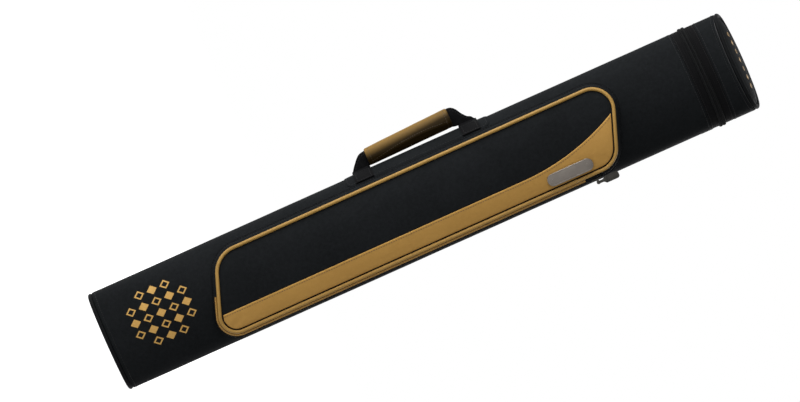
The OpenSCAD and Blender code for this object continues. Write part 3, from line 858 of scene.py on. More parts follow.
def hinge_sheet():
    """The strip bent round the back, with a soft edge and a welt along its seam."""
    grid = []
    for i in range(41):
        z = zip_z - tape_w + 0.05 + (2 * tape_w - 0.1) * i / 40
        line = []
        for k in range(25):
            at = back_station(hinge_half * (1 - k / 12))
            edge = min(hinge_half - abs(at[0]), z - zip_z + tape_w, zip_z + tape_w - z)
            d = -STRIP_UP + 0.7 * exp(-edge / 0.5) + 0.12 * exp(-((edge - HINGE_SEAM) / 0.6) ** 2)
            line.append((inward(at, d, z), inward(at, 1.5, z)))
        grid.append(line)
    return sheet(grid)


hinge_strip = build("hinge_strip", hinge_sheet(), black_leatherette, None,
                    ["case_hinge_leaf", "lid_hinge_leaf"])
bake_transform(hinge_strip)


def hinge_seam(side):
    """Three sides of a seam on one half of the hinge."""
    inset = hinge_half - HINGE_SEAM
    far, near = zip_z + side * (tape_w - HINGE_SEAM), zip_z + side * 7.5
    pts = [(inset, near), (inset, far)] + [(inset * (1 - i / 10), far) for i in range(1, 20)] + [
        (-inset, far), (-inset, near)]
    spots = [(back_station(x), z) for x, z in pts]
    return path_of([(inward(at, -THREAD_UP, z), (at[2], at[3], 0)) for at, z in spots])


for body, side in (("case", -1), ("lid", 1)):
    row(body + "_hinge_stitches", [hinge_seam(side)], body)

# %% [markdown]
# ## Metal plates with round corners
#
# Sliders, tabs and the small plate are stamped metal. A flat filled curve with a little bevel gives such a
# plate at once, holes included, and it is made a mesh before it is put in its place.

# %% Stamped plates
def rounded(w, h, r, cx=0.0, cy=0.0, n=6):
    """Corner points of a rectangle with rounded corners."""
    pts = []
    for qx, qy, a0 in ((1, 1, 0), (-1, 1, 90), (-1, -1, 180), (1, -1, 270)):
        for i in range(n + 1):
            a = radians(a0 + 90 * i / n)
            pts.append((cx + qx * (w / 2 - r) + r * cos(a), cy + qy * (h / 2 - r) + r * sin(a)))
    return pts


def stamped(outlines, thick, bevel, place):
    """A mesh in mm from outlines in a plane, the first outside and the rest holes, put in place."""
    curve = bpy.data.curves.new("stamping", "CURVE")
    curve.dimensions, curve.fill_mode = "2D", "BOTH"
    curve.extrude, curve.bevel_depth, curve.bevel_resolution = thick / 2 - bevel, bevel, 2
    curve.offset = -bevel
    for outline in outlines:
        spline = curve.splines.new("POLY")
        spline.points.add(len(outline) - 1)
        for point, (x, y) in zip(spline.points, outline):
            point.co = (x, y, 0, 1)
        spline.use_cyclic_u = True
    holder = bpy.data.objects.new("stamping", curve)
    scene.collection.objects.link(holder)
    mesh = bpy.data.meshes.new_from_object(holder.evaluated_get(bpy.context.evaluated_depsgraph_get()))
    bpy.data.objects.remove(holder)
    bpy.data.curves.remove(curve)
    mesh.transform(place)
    shape = [tuple(v.co) for v in mesh.vertices], [tuple(p.vertices) for p in mesh.polygons]
    bpy.data.meshes.remove(mesh)
    return shape


print("a rounded plate has", len(rounded(9, 20, 3)), "points")

# %% [markdown]
# Pins and eyes are turned, so they are short rods or tubes. A slider is several such shapes joined into one
# mesh. Each is made about its own axis, and a matrix carries it to its place.

# %% Rods, tubes and places
def barrel(r_out, r_in, length, place, n=24):
    """A short tube or, with no bore, a rod with soft ends, along the local Z axis."""
    e, half = 0.2, length / 2
    profile = [(r_out - e, -half), (r_out, -half + e), (r_out, half - e), (r_out - e, half)]
    if r_in:
        profile += [(r_in, half), (r_in, -half)]
    rings = [[(r * cos(2 * pi * k / n), r * sin(2 * pi * k / n), z) for r, z in profile] for k in range(n)]
    verts, faces = skin(rings, loop=True) if r_in else skin(list(zip(*rings)))
    return [tuple(place @ Vector(v)) for v in verts], faces


def joined(*shapes):
    """Several shapes as one."""
    verts, faces = [], []
    for v, f in shapes:
        faces += [tuple(i + len(verts) for i in face) for face in f]
        verts += v
    return verts, faces


def frame_of(origin, x, y):
    """A place whose local X and Y point these ways."""
    x, y = Vector(x).normalized(), Vector(y).normalized()
    columns = [(*v, 0) for v in (x, y, x.cross(y))] + [(*origin, 1)]
    return Matrix(columns).transposed()


def disc(r, cx, cy, n):
    """Points of a round outline."""
    return [(cx + r * cos(2 * pi * i / n), cy + r * sin(2 * pi * i / n)) for i in range(n)]


EYE_R, PIN_R, EYE_W, TAB_L, TAB_W, TAB_T, NECK_L = 2.2, 0.8, 5.0, 20.0, 9.0, 1.6, 7.2


def tab_outline(neck):
    """A puller tab that hangs below its eye: neck, shoulders and a rounded end."""
    shoulder = [(TAB_W / 2, -NECK_L - 2.4), (neck / 2 + 0.6, -NECK_L - 0.3), (neck / 2, -NECK_L + 1.5),
                (neck / 2, -1.6)]
    foot = rounded(TAB_W, TAB_L, 3.4, 0, -NECK_L - TAB_L / 2)
    lower = [p for p in foot if p[1] < -NECK_L - TAB_L / 2]
    return [(-x, y) for x, y in reversed(shoulder)] + lower + shoulder


print("tab", TAB_W, "by", TAB_L, "mm")

# %% [markdown]
# The lid's slider is parked beside the hinge. Its top plate is bent round the narrow side, and a lip below
# holds it on the coil. Two ears carry the pin, and the tab's eye turns on the pin with a little play.

# %% Lid slider and puller
park = radians(40)
out_dir, side_dir = Vector((cos(park), sin(park), 0)), Vector((-sin(park), cos(park), 0))
plate_in, plate_out, pin_out, bail_z = 36.8, 38.2, 40.8, 797.4
bail = Vector((side_c, 0, bail_z))
X, Y, Z = Vector((1, 0, 0)), Vector((0, 1, 0)), Vector((0, 0, 1))
SOFT, RUNNER_HALF, LIP = 0.35, 6.5, 1.4
EAR_T, EAR_AT, PIN_L = 1.2, 3.4, 7.9


def bent_plate(r0, r1, half_l, z0, z1, n=14):
    """A plate bent round the narrow side, with softened ends."""
    rings = []
    for k in range(n + 1):
        a = park + (2 * k / n - 1) * half_l / r1
        soft = SOFT if k in (0, n) else 0.0
        ring = [(r0 + soft, z0 + soft), (r1 - SOFT, z0 + soft), (r1 - soft, z0 + SOFT + soft),
                (r1 - soft, z1 - SOFT - soft), (r1 - SOFT, z1 - soft), (r0 + soft, z1 - soft)]
        rings.append([(side_c + r * cos(a), r * sin(a), z) for r, z in ring])
    return skin(rings)


def ears(face, pin, origin, out, across, up):
    """Two ears with round ends and the pin between them."""
    foot, half_h = -0.7, 1.4
    end = pin - face
    tip = [(end + half_h * sin(radians(a)), -half_h * cos(radians(a))) for a in range(20, 180, 20)]
    outline = [(foot, -half_h), (end, -half_h)] + tip + [(end, half_h), (foot, half_h)]
    shapes = [stamped([outline], EAR_T, 0.2, frame_of(origin + out * face + across * at, out, up))
              for at in (-EAR_AT, EAR_AT)]
    return joined(*shapes, barrel(PIN_R, 0, PIN_L, frame_of(origin + out * pin, out, up)))


flange_z = zip_z - split - coil_w - run
build("lid_zip_runner", joined(
    bent_plate(plate_in, plate_out, RUNNER_HALF, flange_z - LIP, zip_z + coil_w),
    bent_plate(side_r - 0.3 + run, plate_in + 0.5, RUNNER_HALF, flange_z - LIP, flange_z),
    ears(plate_out, pin_out, bail, out_dir, side_dir, Z)),
    black_nickel, "lid_zip_slider", ["lid_slider"])
pin_place = bail + out_dir * pin_out
build("lid_zip_tab", joined(
    stamped([tab_outline(EYE_W), rounded(4.2, 9, 2.0, 0, -NECK_L - 12.5)], TAB_T, 0.4,
            frame_of(pin_place, side_dir, Z)),
    barrel(EYE_R, PIN_R + run, EYE_W, frame_of(pin_place, out_dir, Z))),
    black_nickel, "lid_zip_puller", ["lid_puller"])

# %% [markdown]
# ## The pocket's outline
#
# The pocket is a long parallelogram with four different round corners, laid over the front. Its outline is a
# list of stations: a point in the front view and the direction that leads outward. The wall, the zip, the
# band and the piping are all profiles swept along those stations.

# %% Pocket outline
pocket_x0, pocket_x1 = -half_w + 20.5, half_w - 10.0
pocket_x, pocket_w = (pocket_x0 + pocket_x1) / 2, (pocket_x1 - pocket_x0) / 2
pocket_z, pocket_l, pocket_crown = 412.8, 528.0, 8.0
lean_a = radians(20)
crown_R = (pocket_w ** 2 + pocket_crown ** 2) / (2 * pocket_crown)
crown_y = -half_d - 14.0 + crown_R
cord_r, flare, wall_t = 2.2, 5.5, 1.4
zip_d, gusset_d = flare + 2.4, flare + 2.4 + split + 1.9 + 0.3
corner_z = pocket_z - tan(lean_a) * pocket_w + pocket_l / 2
slider_z = corner_z - 30.0
zip_end, band_end = slider_z + 9.0, slider_z - 14.0
end_dir = Vector((cos(lean_a), -sin(lean_a)))
UP = Vector((0, 1))


def corner(v, d1, d2, r, n=16):
    """A rounded corner as stations of (x, z, out x, out z)."""
    turn = acos(d1.dot(d2))
    side = Vector((-d1.y, d1.x))
    o = Vector(v) - r * tan(turn / 2) * d1 + r * side
    a0 = atan2(-side.y, -side.x)
    angles = [a0 + turn * i / n for i in range(n + 1)]
    return [(o.x + r * cos(a), o.y + r * sin(a), cos(a), sin(a)) for a in angles]


def between(p, q, step=6.0):
    """Stations between two others, without either end."""
    n = max(2, int(hypot(q[0] - p[0], q[1] - p[1]) / step))
    return [tuple(a + (b - a) * i / n for a, b in zip(p, q)) for i in range(1, n)]


drop = tan(lean_a) * pocket_w
corner_a = corner((pocket_x0, pocket_z + drop - pocket_l / 2), -UP, end_dir, 33)
corner_b = corner((pocket_x1, pocket_z - drop - pocket_l / 2), end_dir, UP, 20)
corner_c = corner((pocket_x1, corner_z), UP, -end_dir, 28)
corner_d = corner((pocket_x0, pocket_z + drop + pocket_l / 2), -end_dir, -UP, 26)
start_p = (pocket_x - 1, pocket_z - pocket_l / 2 + tan(lean_a), -sin(lean_a), -cos(lean_a))
start_q = (start_p[0] + run * end_dir.x, start_p[1] + run * end_dir.y, *start_p[2:])


print("pocket corners:", [len(c) for c in (corner_a, corner_b, corner_c, corner_d)], "stations")

# %% [markdown]
# The zip runs round the low corner and up the zip side, and the rest of the outline is sewn. Both are runs
# of stations. A point of the wall is given by how far it lies outside the piping and how far behind it.

# %% Runs round the pocket
def zip_run(z):
    """Stations along the zip, up to a height on the zip side."""
    end = (pocket_x1, z, 1.0, 0.0)
    return [start_q] + between(start_q, corner_b[0]) + corner_b + between(corner_b[-1], end) + [end]


turn_up = (pocket_x1, zip_end, 1.0, 0.0)
REST_RUN = ([turn_up] + corner_c + between(corner_c[-1], corner_d[0]) + corner_d
            + between(corner_d[-1], corner_a[0]) + corner_a + between(corner_a[-1], start_p) + [start_p])
WHOLE_RUN = ([start_p] + between(start_p, corner_b[0]) + corner_b + between(corner_b[-1], turn_up)
             + REST_RUN[:-1])


def crown(x, up=0.0):
    """The crowned surface at x that lies up over the piping's middle, front to back."""
    return crown_y - sqrt((crown_R + up) ** 2 - (x - pocket_x) ** 2)


def wall_at(s, o, d):
    """A point o outside the piping's middle and d behind it."""
    return s[0] + s[2] * o, crown(s[0]) + d, s[1] + s[3] * o


def wall_down(s, o, f, top, bulge=0.0):
    """A point a share f of the way down the wall, from depth top to the case."""
    y0 = crown(s[0]) + top
    swell = o + bulge * sin(pi * f)
    y1 = front_y(s[0] + s[2] * o) - 0.05
    return s[0] + s[2] * swell, y0 + (y1 - y0) * f, s[1] + s[3] * swell


def strip(name, stations, profile, finish, body, nodes):
    """A profile of (o, d) swept along the stations."""
    build(name, skin([[wall_at(s, o, d) for o, d in profile] for s in stations]), finish, body, nodes)


print("pocket outline", len(WHOLE_RUN), "stations")

# %% [markdown]
# ## Pocket piping and walls
#
# The tan piping runs all the way round. Where the pocket opens, the wall below the zip stays on the case.
# Along the other edges one bellows of leatherette runs from the piping down to the case. It stretches
# when the pocket opens; it rides on neither the case nor the flap.

# %% Piping and walls
CORD_SIDES, PUCKER = 14, 0.012
piping_rings = []
for k, s in enumerate(WHOLE_RUN):
    r = cord_r * (1 - PUCKER * sin(k * 2.3))
    turns = [2 * pi * j / CORD_SIDES for j in range(CORD_SIDES)]
    piping_rings.append([wall_at(s, r * cos(a), r * sin(a)) for a in turns])
build("pocket_cord", skin(piping_rings, loop=True), tan_piping, "pocket_flap", ["pocket_piping"])


def wall_rings(stations, head, top, bulge):
    """A thin wall: the points of head, then straight down to the case, and back up the inside."""
    steps = [i / 9 for i in range(10)]
    rings = []
    for k, s in enumerate(stations):
        soft = bulge * (1 + 0.5 * noise.noise(Vector((k * 0.21, 3, 0))))
        outside = [wall_at(s, o, d) for o, d in head] + [wall_down(s, flare, f, top, soft) for f in steps]
        inside = [wall_down(s, flare - wall_t, f, top, soft) for f in reversed(steps)]
        inside += [wall_at(s, o - wall_t * 0.8, d + wall_t * 0.6) for o, d in reversed(head)]
        rings.append(outside + inside)
    return rings


build("zip_wall", skin(wall_rings(zip_run(zip_end), [], gusset_d, 0.5)), black_leatherette, "case",
      ["pocket_gusset"])
SHOULDER = [(1.6, 1.5), (2.9, 2.5), (3.9, 3.45), (4.8, 4.45), (5.35, 5.3)]
bellows = build("pocket_bellows", skin(wall_rings(REST_RUN, SHOULDER, 6.3, 0.35)), black_leatherette, None,
                ["pocket_shoulder"])
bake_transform(bellows)

# %% [markdown]
# A narrow strip binds the foot of the wall to the case. It lies on the oval, so its width is measured along
# the surface, and a row of stitches runs down its middle.

# %% Binding at the foot of the wall
def front_normal(x):
    """The outward direction of the front face at x."""
    y = front_y(x)
    if abs(x) < flat_x:
        return x / flat_r, (y - flat_c) / flat_r
    return (abs(x) - side_c) / side_r * (1 if x > 0 else -1), y / side_r


def foot_point(s, w, up):
    """A point on the case w outside the foot of the wall, lifted by up."""
    ny = front_normal(s[0] + s[2] * flare)[1]
    o = flare + w * (s[3] ** 2 + (s[2] * abs(ny)) ** 2) ** 0.5
    x = s[0] + s[2] * o
    nx, ny = front_normal(x)
    return (x + nx * up, front_y(x) + ny * up, s[1] + s[3] * o), (nx, ny, 0)


BINDING = [(-0.3, 0.05), (0.1, 0.9), (0.7, 1.15), (1.25, 0.75), (1.6, 0.45), (1.95, 0.75), (2.5, 1.1),
           (3.0, 0.75), (3.25, 0.05)]
build("pocket_binding", skin([[foot_point(s, w, up)[0] for w, up in BINDING] for s in WHOLE_RUN], loop=True),
      black_leatherette, "case")
row("binding_stitches", [path_of([foot_point(s, 1.6, 0.5) for s in WHOLE_RUN], True)], "case",
    size=(2.3, 0.6, 0.5))

# %% [markdown]
# ## The padded pocket panel
#
# The panel is leatherette over thin foam, sewn in under the piping. A closed cushion is laid out on a grid
# that fits the outline, and then inflated a little by Blender's Cloth with its seam pinned. That gives the
# soft roll along the piping. The movement is capped, so the panel keeps the crown of its solid.

# %% The panel's outline
def outline(inset):
    """The pocket's outline drawn in, as points of (x, z)."""
    return [(x - nx * inset, z - nz * inset) for x, z, nx, nz in WHOLE_RUN]


def chord(points, at, axis):
    """Lowest and highest crossing of a convex outline with a line at x or z."""
    found = []
    for p, q in zip(points, points[1:] + points[:1]):
        a, b = p[axis] - at, q[axis] - at
        if a * b <= 0 and a != b:
            found.append(p[1 - axis] + (q[1 - axis] - p[1 - axis]) * a / (a - b))
    return min(found), max(found)


def edge_distance(points, x, z):
    """How far a point is from an outline."""
    best = 1e9
    for (ax, az), (bx, bz) in zip(points, points[1:] + points[:1]):
        ux, uz = bx - ax, bz - az
        t = max(0.0, min(1.0, ((x - ax) * ux + (z - az) * uz) / (ux * ux + uz * uz + 1e-12)))
        best = min(best, (x - ax - ux * t) ** 2 + (z - az - uz * t) ** 2)
    return sqrt(best)


def eased(n):
    """Shares from 0 to 1, closer together near both ends."""
    return [0.55 * (0.5 - 0.5 * cos(pi * i / n)) + 0.45 * i / n for i in range(n + 1)]


print("outline drawn in by 1 mm:", len(outline(1)), "points")

# %% [markdown]
# Cloth works as an air pump here. Pressure pushes a closed mesh outward for a few frames while its seam is
# pinned, and the result is read back as plain points.

# %% Cloth as an air pump
def inflate(made, pinned, cap, pressure, frames=20):
    """Blows a closed mesh up with Cloth for a few frames, and keeps at most cap mm of the movement."""
    seam = made.vertex_groups.new(name="seam")
    seam.add(pinned, 1.0, "REPLACE")
    cloth = made.modifiers.new("air", "CLOTH")
    cloth.settings.quality = 5
    cloth.settings.mass = 0.02
    cloth.settings.use_pressure = True
    cloth.settings.uniform_pressure_force = pressure
    cloth.settings.effector_weights.gravity = 0
    cloth.settings.vertex_group_mass = "seam"
    cloth.point_cache.frame_start, cloth.point_cache.frame_end = 1, frames
    for f in range(1, frames + 1):
        scene.frame_set(f)
    evaluated = made.evaluated_get(bpy.context.evaluated_depsgraph_get())
    moved = [v.co.copy() for v in evaluated.data.vertices]
    made.modifiers.remove(cloth)
    made.vertex_groups.clear()
    scene.frame_set(1)
    most = 0.0
    for v, to in zip(made.data.vertices, moved):
        step = to - v.co
        most = max(most, step.length)
        if step.length > cap * MM:
            step *= cap * MM / step.length
        v.co += step
    made.data.update()
    print(made.name, "swelled by up to", round(most / MM, 2), "mm, capped at", cap)


print("cloth is", "used")

# %% [markdown]
# The grid is closer near its edges, where the panel rolls over to its seam. The drop toward the seam is a sum
# of two falling curves, one steep and one long, and small dents show where the thread pulls.

# %% Padded panel
panel_edge = outline(1.4)
xs = [p[0] for p in panel_edge]
x_low, x_high = min(xs) + 0.02, max(xs) - 0.02
grid = []
for f in eased(34):
    x = x_low + (x_high - x_low) * f
    z_low, z_high = chord(panel_edge, x, 0)
    line = []
    for g in eased(132):
        z = z_low + (z_high - z_low) * g
        e = edge_distance(panel_edge, x, z)
        sewn = 2.0 * exp(-e / 2.8) + 0.35 * exp(-e / 9) + dent((x, 0, z), 7, 0.16) * exp(-e / 5)
        line.append(((x, crown(x, 0.35) + sewn + dent((x, 0, z), 55, 0.18), z), (x, crown(x, -2.3), z)))
    grid.append(line)
panel = build("pocket_cushion", sheet(grid), panel_leatherette, None, sharp=60)
border = grid[0] + grid[-1] + [line[j] for line in grid for j in (0, -1)]
rim = {(round(p[0], 3), round(p[2], 3)) for p, _ in border}
pinned = [v.index for v in panel.data.vertices if (round(v.co.x / MM, 3), round(v.co.z / MM, 3)) in rim]
inflate(panel, pinned, 0.7, 6.0)
settle(panel, "pocket_flap", ["pocket_panel"])
panel_tree = surface(panel)


def lay_on(tree, x, z, spare):
    """The front surface of a piece at x and z, or spare where the line misses it."""
    hit = tree.ray_cast(Vector((x, -200, z)), Vector((0, 1, 0)))[0]
    return hit.y if hit else spare


# %% [markdown]
# ## The tan overlay and its edge
#
# A piece of tan leather covers the zip side of the panel and sweeps across its upper end. Its free edge is
# turned under, so it is a little thicker there, and a row of stitches follows it. Each point is dropped
# on the padded panel by a ray, and so the leather takes the panel's crown.

# %% Overlay
sweep_z, sweep_r, overlay_w = corner_z - 114.0, 285.0, 27.0
overlay_edge = outline(3.9)


def free_edge(z):
    """The overlay's free edge: straight up the pocket, then swept toward the handle side."""
    x = pocket_x1 - overlay_w
    if z < sweep_z:
        return x
    return x - sweep_r + sqrt(sweep_r ** 2 - (z - sweep_z) ** 2)


z_foot = z_tip = min(p[1] for p in overlay_edge) + 0.05
while free_edge(z_tip + 0.5) < chord(overlay_edge, z_tip + 0.5, 1)[1] - 0.6:
    z_tip += 0.5
grid, seam = [], []
for f in eased(170):
    z = z_foot + (z_tip - z_foot) * f
    x_l, x_r = chord(overlay_edge, z, 1)
    at_edge = free_edge(z) >= x_l
    x_l = max(x_l, free_edge(z))
    w = x_r - x_l
    line = []
    for k in range(23):
        t = k / 22
        s = w * t * t * (3 - 2 * t)
        x = x_l + s
        y = lay_on(panel_tree, x, z, crown(x, 0.4))
        turned = 0.35 * exp(-((s - 1.1) / 0.9) ** 2) if at_edge else 0.0
        up = (1.05 + turned) * (1 - exp(-(s + 0.05) / 0.28)) * (1 - exp(-(w - s + 0.12) / 0.3))
        line.append(((x, y - 0.06 - up, z), (x, y - 0.02, z)))
    grid.append(line)
    if at_edge and w > 9:
        x = x_l + 2.9
        seam.append(((x, lay_on(panel_tree, x, z, crown(x, 0.4)) - 1.12, z), (0, -1, 0)))
build("pocket_overlay_leather", sheet(grid), tan_leather, "pocket_flap", ["pocket_overlay"])
row("overlay_stitches", [path_of(seam)], "pocket_flap", 3.3, (2.5, 0.8, 0.5), tan_thread)

# %% [markdown]
# ## The plain plate
#
# A small plate of dark brushed metal sits on the overlay. It is a stamped plate with a raised border and two
# rivets, and carries nothing else.

# %% Plate
plate_z = slider_z - 27.0
plate_x = pocket_x1 - overlay_w / 2
tilt = (plate_x - pocket_x) / crown_R
plate_up = Vector((sin(tilt), -cos(tilt), 0))
plate_y = min(lay_on(panel_tree, plate_x + dx, plate_z + dz, crown(plate_x, 0.4))
              for dx in (-7.5, 0, 7.5) for dz in (-29, 0, 29)) - 1.15
plate_side = Vector((cos(tilt), sin(tilt), 0))


def plate_place(up):
    """The plate's plane, lifted by up mm: local X runs across it and local Y along the case."""
    return frame_of(Vector((plate_x, plate_y, plate_z)) + plate_up * up, plate_side, Z)


PLATE = (16, 60, 7.6)  # width, length and corner radius
BORDER, BORDER_IN = (15.2, 59.2, 7.2), (12.6, 56.6, 6.0)
RIVET_R, RIVET_AT = 1.7, 22.5
shapes = [stamped([rounded(*PLATE)], 1.2, 0.35, plate_place(0.5)),
          stamped([rounded(*BORDER), rounded(*BORDER_IN)], 0.7, 0.2, plate_place(1.2))]
for z in (-RIVET_AT, RIVET_AT):
    shapes.append(barrel(RIVET_R, 0, 1.0, plate_place(1.3) @ Matrix.Translation((0, z, 0))))
build("plain_plate", joined(*shapes), gunmetal, "pocket_flap", ["pocket_plate"])

# %% [markdown]
# ## Band and zip of the pocket
#
# Below the piping a band of tan leather slopes out to the zip, and ends in a black stop by the slider.
# Under it the two zip tapes and coils run round the low corner and up the zip side: one half on the flap
# and one on the case.

# %% Band, stop, tapes and coils
BAND = [(-1.9, 1.7), (0.2, 2.5), (1.6, 3.3), (2.5, 4.3), (2.8, 3.6), (3.0, 2.95), (3.3, 2.7), (3.7, 2.9),
        (4.05, 3.3), (4.25, 3.65), (4.5, 3.8), (4.9, 4.3), (5.1, 5.0), (5.05, 5.5), (4.2, 5.55), (1.3, 5.0),
        (0, 3.6), (-1.9, 2.5)]
strip("zip_band", zip_run(band_end), BAND, tan_leather, "pocket_flap", ["flap_zip_band"])
stop_low = band_end + 0.1
stop_run = [(pocket_x1, stop_low + (zip_end - run - stop_low) * i / 6, 1.0, 0.0) for i in range(7)]
strip("zip_stop", stop_run, BAND, black_leatherette, "pocket_flap", ["flap_zip_stop"])
slant = sqrt(0.5)
row("band_stitches", [path_of([(wall_at(s, 4.25, 3.6), (s[2] * slant, -slant, s[3] * slant))
                               for s in zip_run(band_end - 2.2)])],
    "pocket_flap", 3.2, (2.4, 0.75, 0.5), tan_thread)
tape_run = zip_run(zip_end - run)
flap_d, case_d = zip_d - split, zip_d + split
for body, name, d0, d1, coil_d, lean in (("pocket_flap", "flap", 5.6, flap_d, flap_d - 0.95, 14),
                                         ("case", "pocket", case_d, gusset_d - 0.1, case_d + 0.95, -14)):
    strip(name + "_tape", tape_run, [(flare, d0), (flare, d1), (4.1, d1), (4.1, d0)], zip_tape, body,
          [name + "_zip_tape"])
    row(name + "_coil", [path_of([(wall_at(s, 6.05, coil_d), (s[2], 0, s[3])) for s in tape_run])], body,
        1.2, (1.15, 1.85, 1.6), zip_coil, [name + "_zip_coil"], "zip_coil", lean)

# %% [markdown]
# The slider that runs on this zip is parked at the top. Its tab is a flat plate with a slot, and turns on a
# pin that points to the front.

# %% Pocket slider and puller
side_y = crown(pocket_x1)
PLATE_OUT, PIN_OUT = 9.2, 12.2  # from the pocket's outline
pocket_pin = Vector((pocket_x1 + PIN_OUT, side_y + zip_d, slider_z))
build("pocket_zip_runner", joined(
    stamped([rounded(5.8, 13, 1.6)], 1.4, 0.4, frame_of((pocket_x1 + 8.5, side_y + 8.75, slider_z), Y, Z)),
    stamped([rounded(3.4, 13, 0.8)], 1.4, 0.35, frame_of((pocket_x1 + 7.5, side_y + 10.95, slider_z), X, Z)),
    ears(PLATE_OUT, PIN_OUT, Vector((pocket_x1, side_y + zip_d, slider_z)), X, Y, Z)),
    black_nickel, "pocket_zip_slider", ["pocket_slider"])
tab = [(x, -y) for x, y in tab_outline(3.6)]
build("pocket_zip_tab", joined(
    stamped([tab], TAB_T - 0.5, 0.3, frame_of(pocket_pin, X, Z)),
    stamped([rounded(TAB_W, 16, 3.2, 0, NECK_L + 12), rounded(5.6, 12.6, 1.8, 0, NECK_L + 12)], TAB_T, 0.3,
            frame_of(pocket_pin, X, Z)),
    barrel(EYE_R, PIN_R + run, EYE_W, frame_of(pocket_pin, X, Z))),
    black_nickel, "pocket_zip_puller", ["pocket_puller"])

# %% [markdown]
# ## The handle's patch and straps
#
# A patch of leatherette is sewn to the narrow side. Two webbing straps grow out of it, each of two plies:
# a ply lies on the patch in front or behind, turns outward in the middle, and rises to the grip. The two
# edges of a leg are drawn as curves in the side view, and the plies bow apart where the grip pinches them.
# The turn is where the handle swings; each ply rides on neither the case nor the handle.

# %% Patch
patch_o = side_r + glue + 1.0
grip_z, grip_l = 439.5, 113.0
patch_low, patch_top, patch_a, patch_c = 346.0, 538.0, radians(50), 9.0


def on_side(r, a, z):
    """A point on the handle side: radius, angle toward the back, height."""
    return -side_c - r * cos(a), r * sin(a), z


def patch_reach(z):
    """Half the patch's angle at a height, less at its rounded corners."""
    near_end = min(z - patch_low, patch_top - z)
    lost = patch_c - sqrt(max(patch_c ** 2 - max(patch_c - near_end, 0) ** 2, 0))
    return patch_a - lost / patch_o


grid = []
for f in eased(60):
    z = patch_low + (patch_top - patch_low) * f
    line = []
    for g in eased(24):
        a = patch_reach(z) * (2 * g - 1)
        edge = min(z - patch_low, patch_top - z, (patch_a - abs(a)) * patch_o)
        r = patch_o - 0.85 * exp(-max(edge, 0) / 2.4) - dent((a * 34, 0, z), 40, 0.06)
        line.append((on_side(r, a, z), on_side(side_r - 0.05, a, z)))
    grid.append(line)
build("side_patch", sheet(grid), black_leatherette, "case", ["handle_patch"])
PATCH_SEAM = 3  # from the patch's edge
wide, tall = patch_a * patch_o - PATCH_SEAM, (patch_top - patch_low) / 2 - PATCH_SEAM
corners = [(u / patch_o, z) for u, z in
           rounded(2 * wide, 2 * tall, patch_c - PATCH_SEAM, 0, (patch_low + patch_top) / 2)]
seam = []
for (a0, z0), (a1, z1) in zip(corners, corners[1:] + corners[:1]):
    for i in range(12):
        a = a0 + (a1 - a0) * i / 12
        seam.append((on_side(patch_o - 0.25, a, z0 + (z1 - z0) * i / 12), (-cos(a), sin(a), 0)))
row("patch_stitches", [path_of(seam, True)], "case")

# %% [markdown]
# Each ply is a grid from its end on the patch to the inside of the grip. Its own length and width in mm are
# its UV map, so the weave follows the webbing round every turn.

# %% The grid of a ply
STRAP_T = 1.5
foot_r = patch_o + glue + STRAP_T / 2
LEGS = {  # heights of a foot's near and far edge, then the near and the far edge of the leg as (x, z)
    "upper": (501.5, 525.5,
              [(-67.8, 502.2), (-68, 500.6), (-68.2, 499), (-68.7, 497), (-69.7, 493), (-71.5, 484)],
              [(-68, 523.6), (-71.9, 520.6), (-74.4, 516), (-80.4, 511), (-87.4, 506.8), (-91.3, 502.5),
               (-92.5, 498), (-92, 493), (-90, 484)]),
    "lower": (382.5, 358.5,
              [(-67.8, 381.8), (-67.6, 383), (-67.5, 385), (-67.8, 388), (-68.6, 391), (-70, 395)],
              [(-67.9, 359.8), (-72, 362.6), (-77, 366.8), (-82.2, 371.6), (-85.2, 376), (-86.3, 381),
               (-86.8, 386), (-85.5, 395)]),
}


def ply(near_z, far_z, near, far, side, cols=13):
    """Rows of points from the foot of one ply to the grip."""
    rows, n = [], 30
    shares = [c / (cols - 1) for c in range(cols)]
    for i in range(15):
        x, y, _ = on_side(foot_r, side * radians(49 - 42 * i / 14), 0)
        rows.append([(x, y, near_z + (far_z - near_z) * w) for w in shares])
    for x, y, share in ((-66.25, 3.2, 0.35), (-66.75, 2.2, 0.6), (-67.35, 1.35, 0.85)):
        rows.append([(x, side * y, near_z + (far_z - near_z) * (w * (1 - share * 0.04) + share * 0.02))
                     for w in shares])
    edges = [curve_through([(x, 0, z) for x, z in points], n) for points in (near, far)]
    for k, (p, q) in enumerate(zip(*edges)):
        t = k / n
        line = []
        for w in shares:
            at = p.lerp(q, w)
            crease = dent((at.x, side * 9, at.z), 8, 0.55) * min(1, 5 * t) * (1 - t)
            line.append((at.x, side * (0.86 + 3.4 * t * t * (1 - (2 * w - 1) ** 2) + crease), at.z))
        rows.append(line)
    return rows


def ply_uv(rows):
    """Length along and across the ply in mm, for both faces of the sheet."""
    uv, along = [], 0.0
    for i, line in enumerate(rows):
        if i:
            along += (Vector(line[len(line) // 2]) - Vector(rows[i - 1][len(line) // 2])).length
        across = 0.0
        for j, p in enumerate(line):
            if j:
                across += (Vector(p) - Vector(line[j - 1])).length
            uv.append((along, across))
    return uv * 2


print("plies:", 2 * len(LEGS))
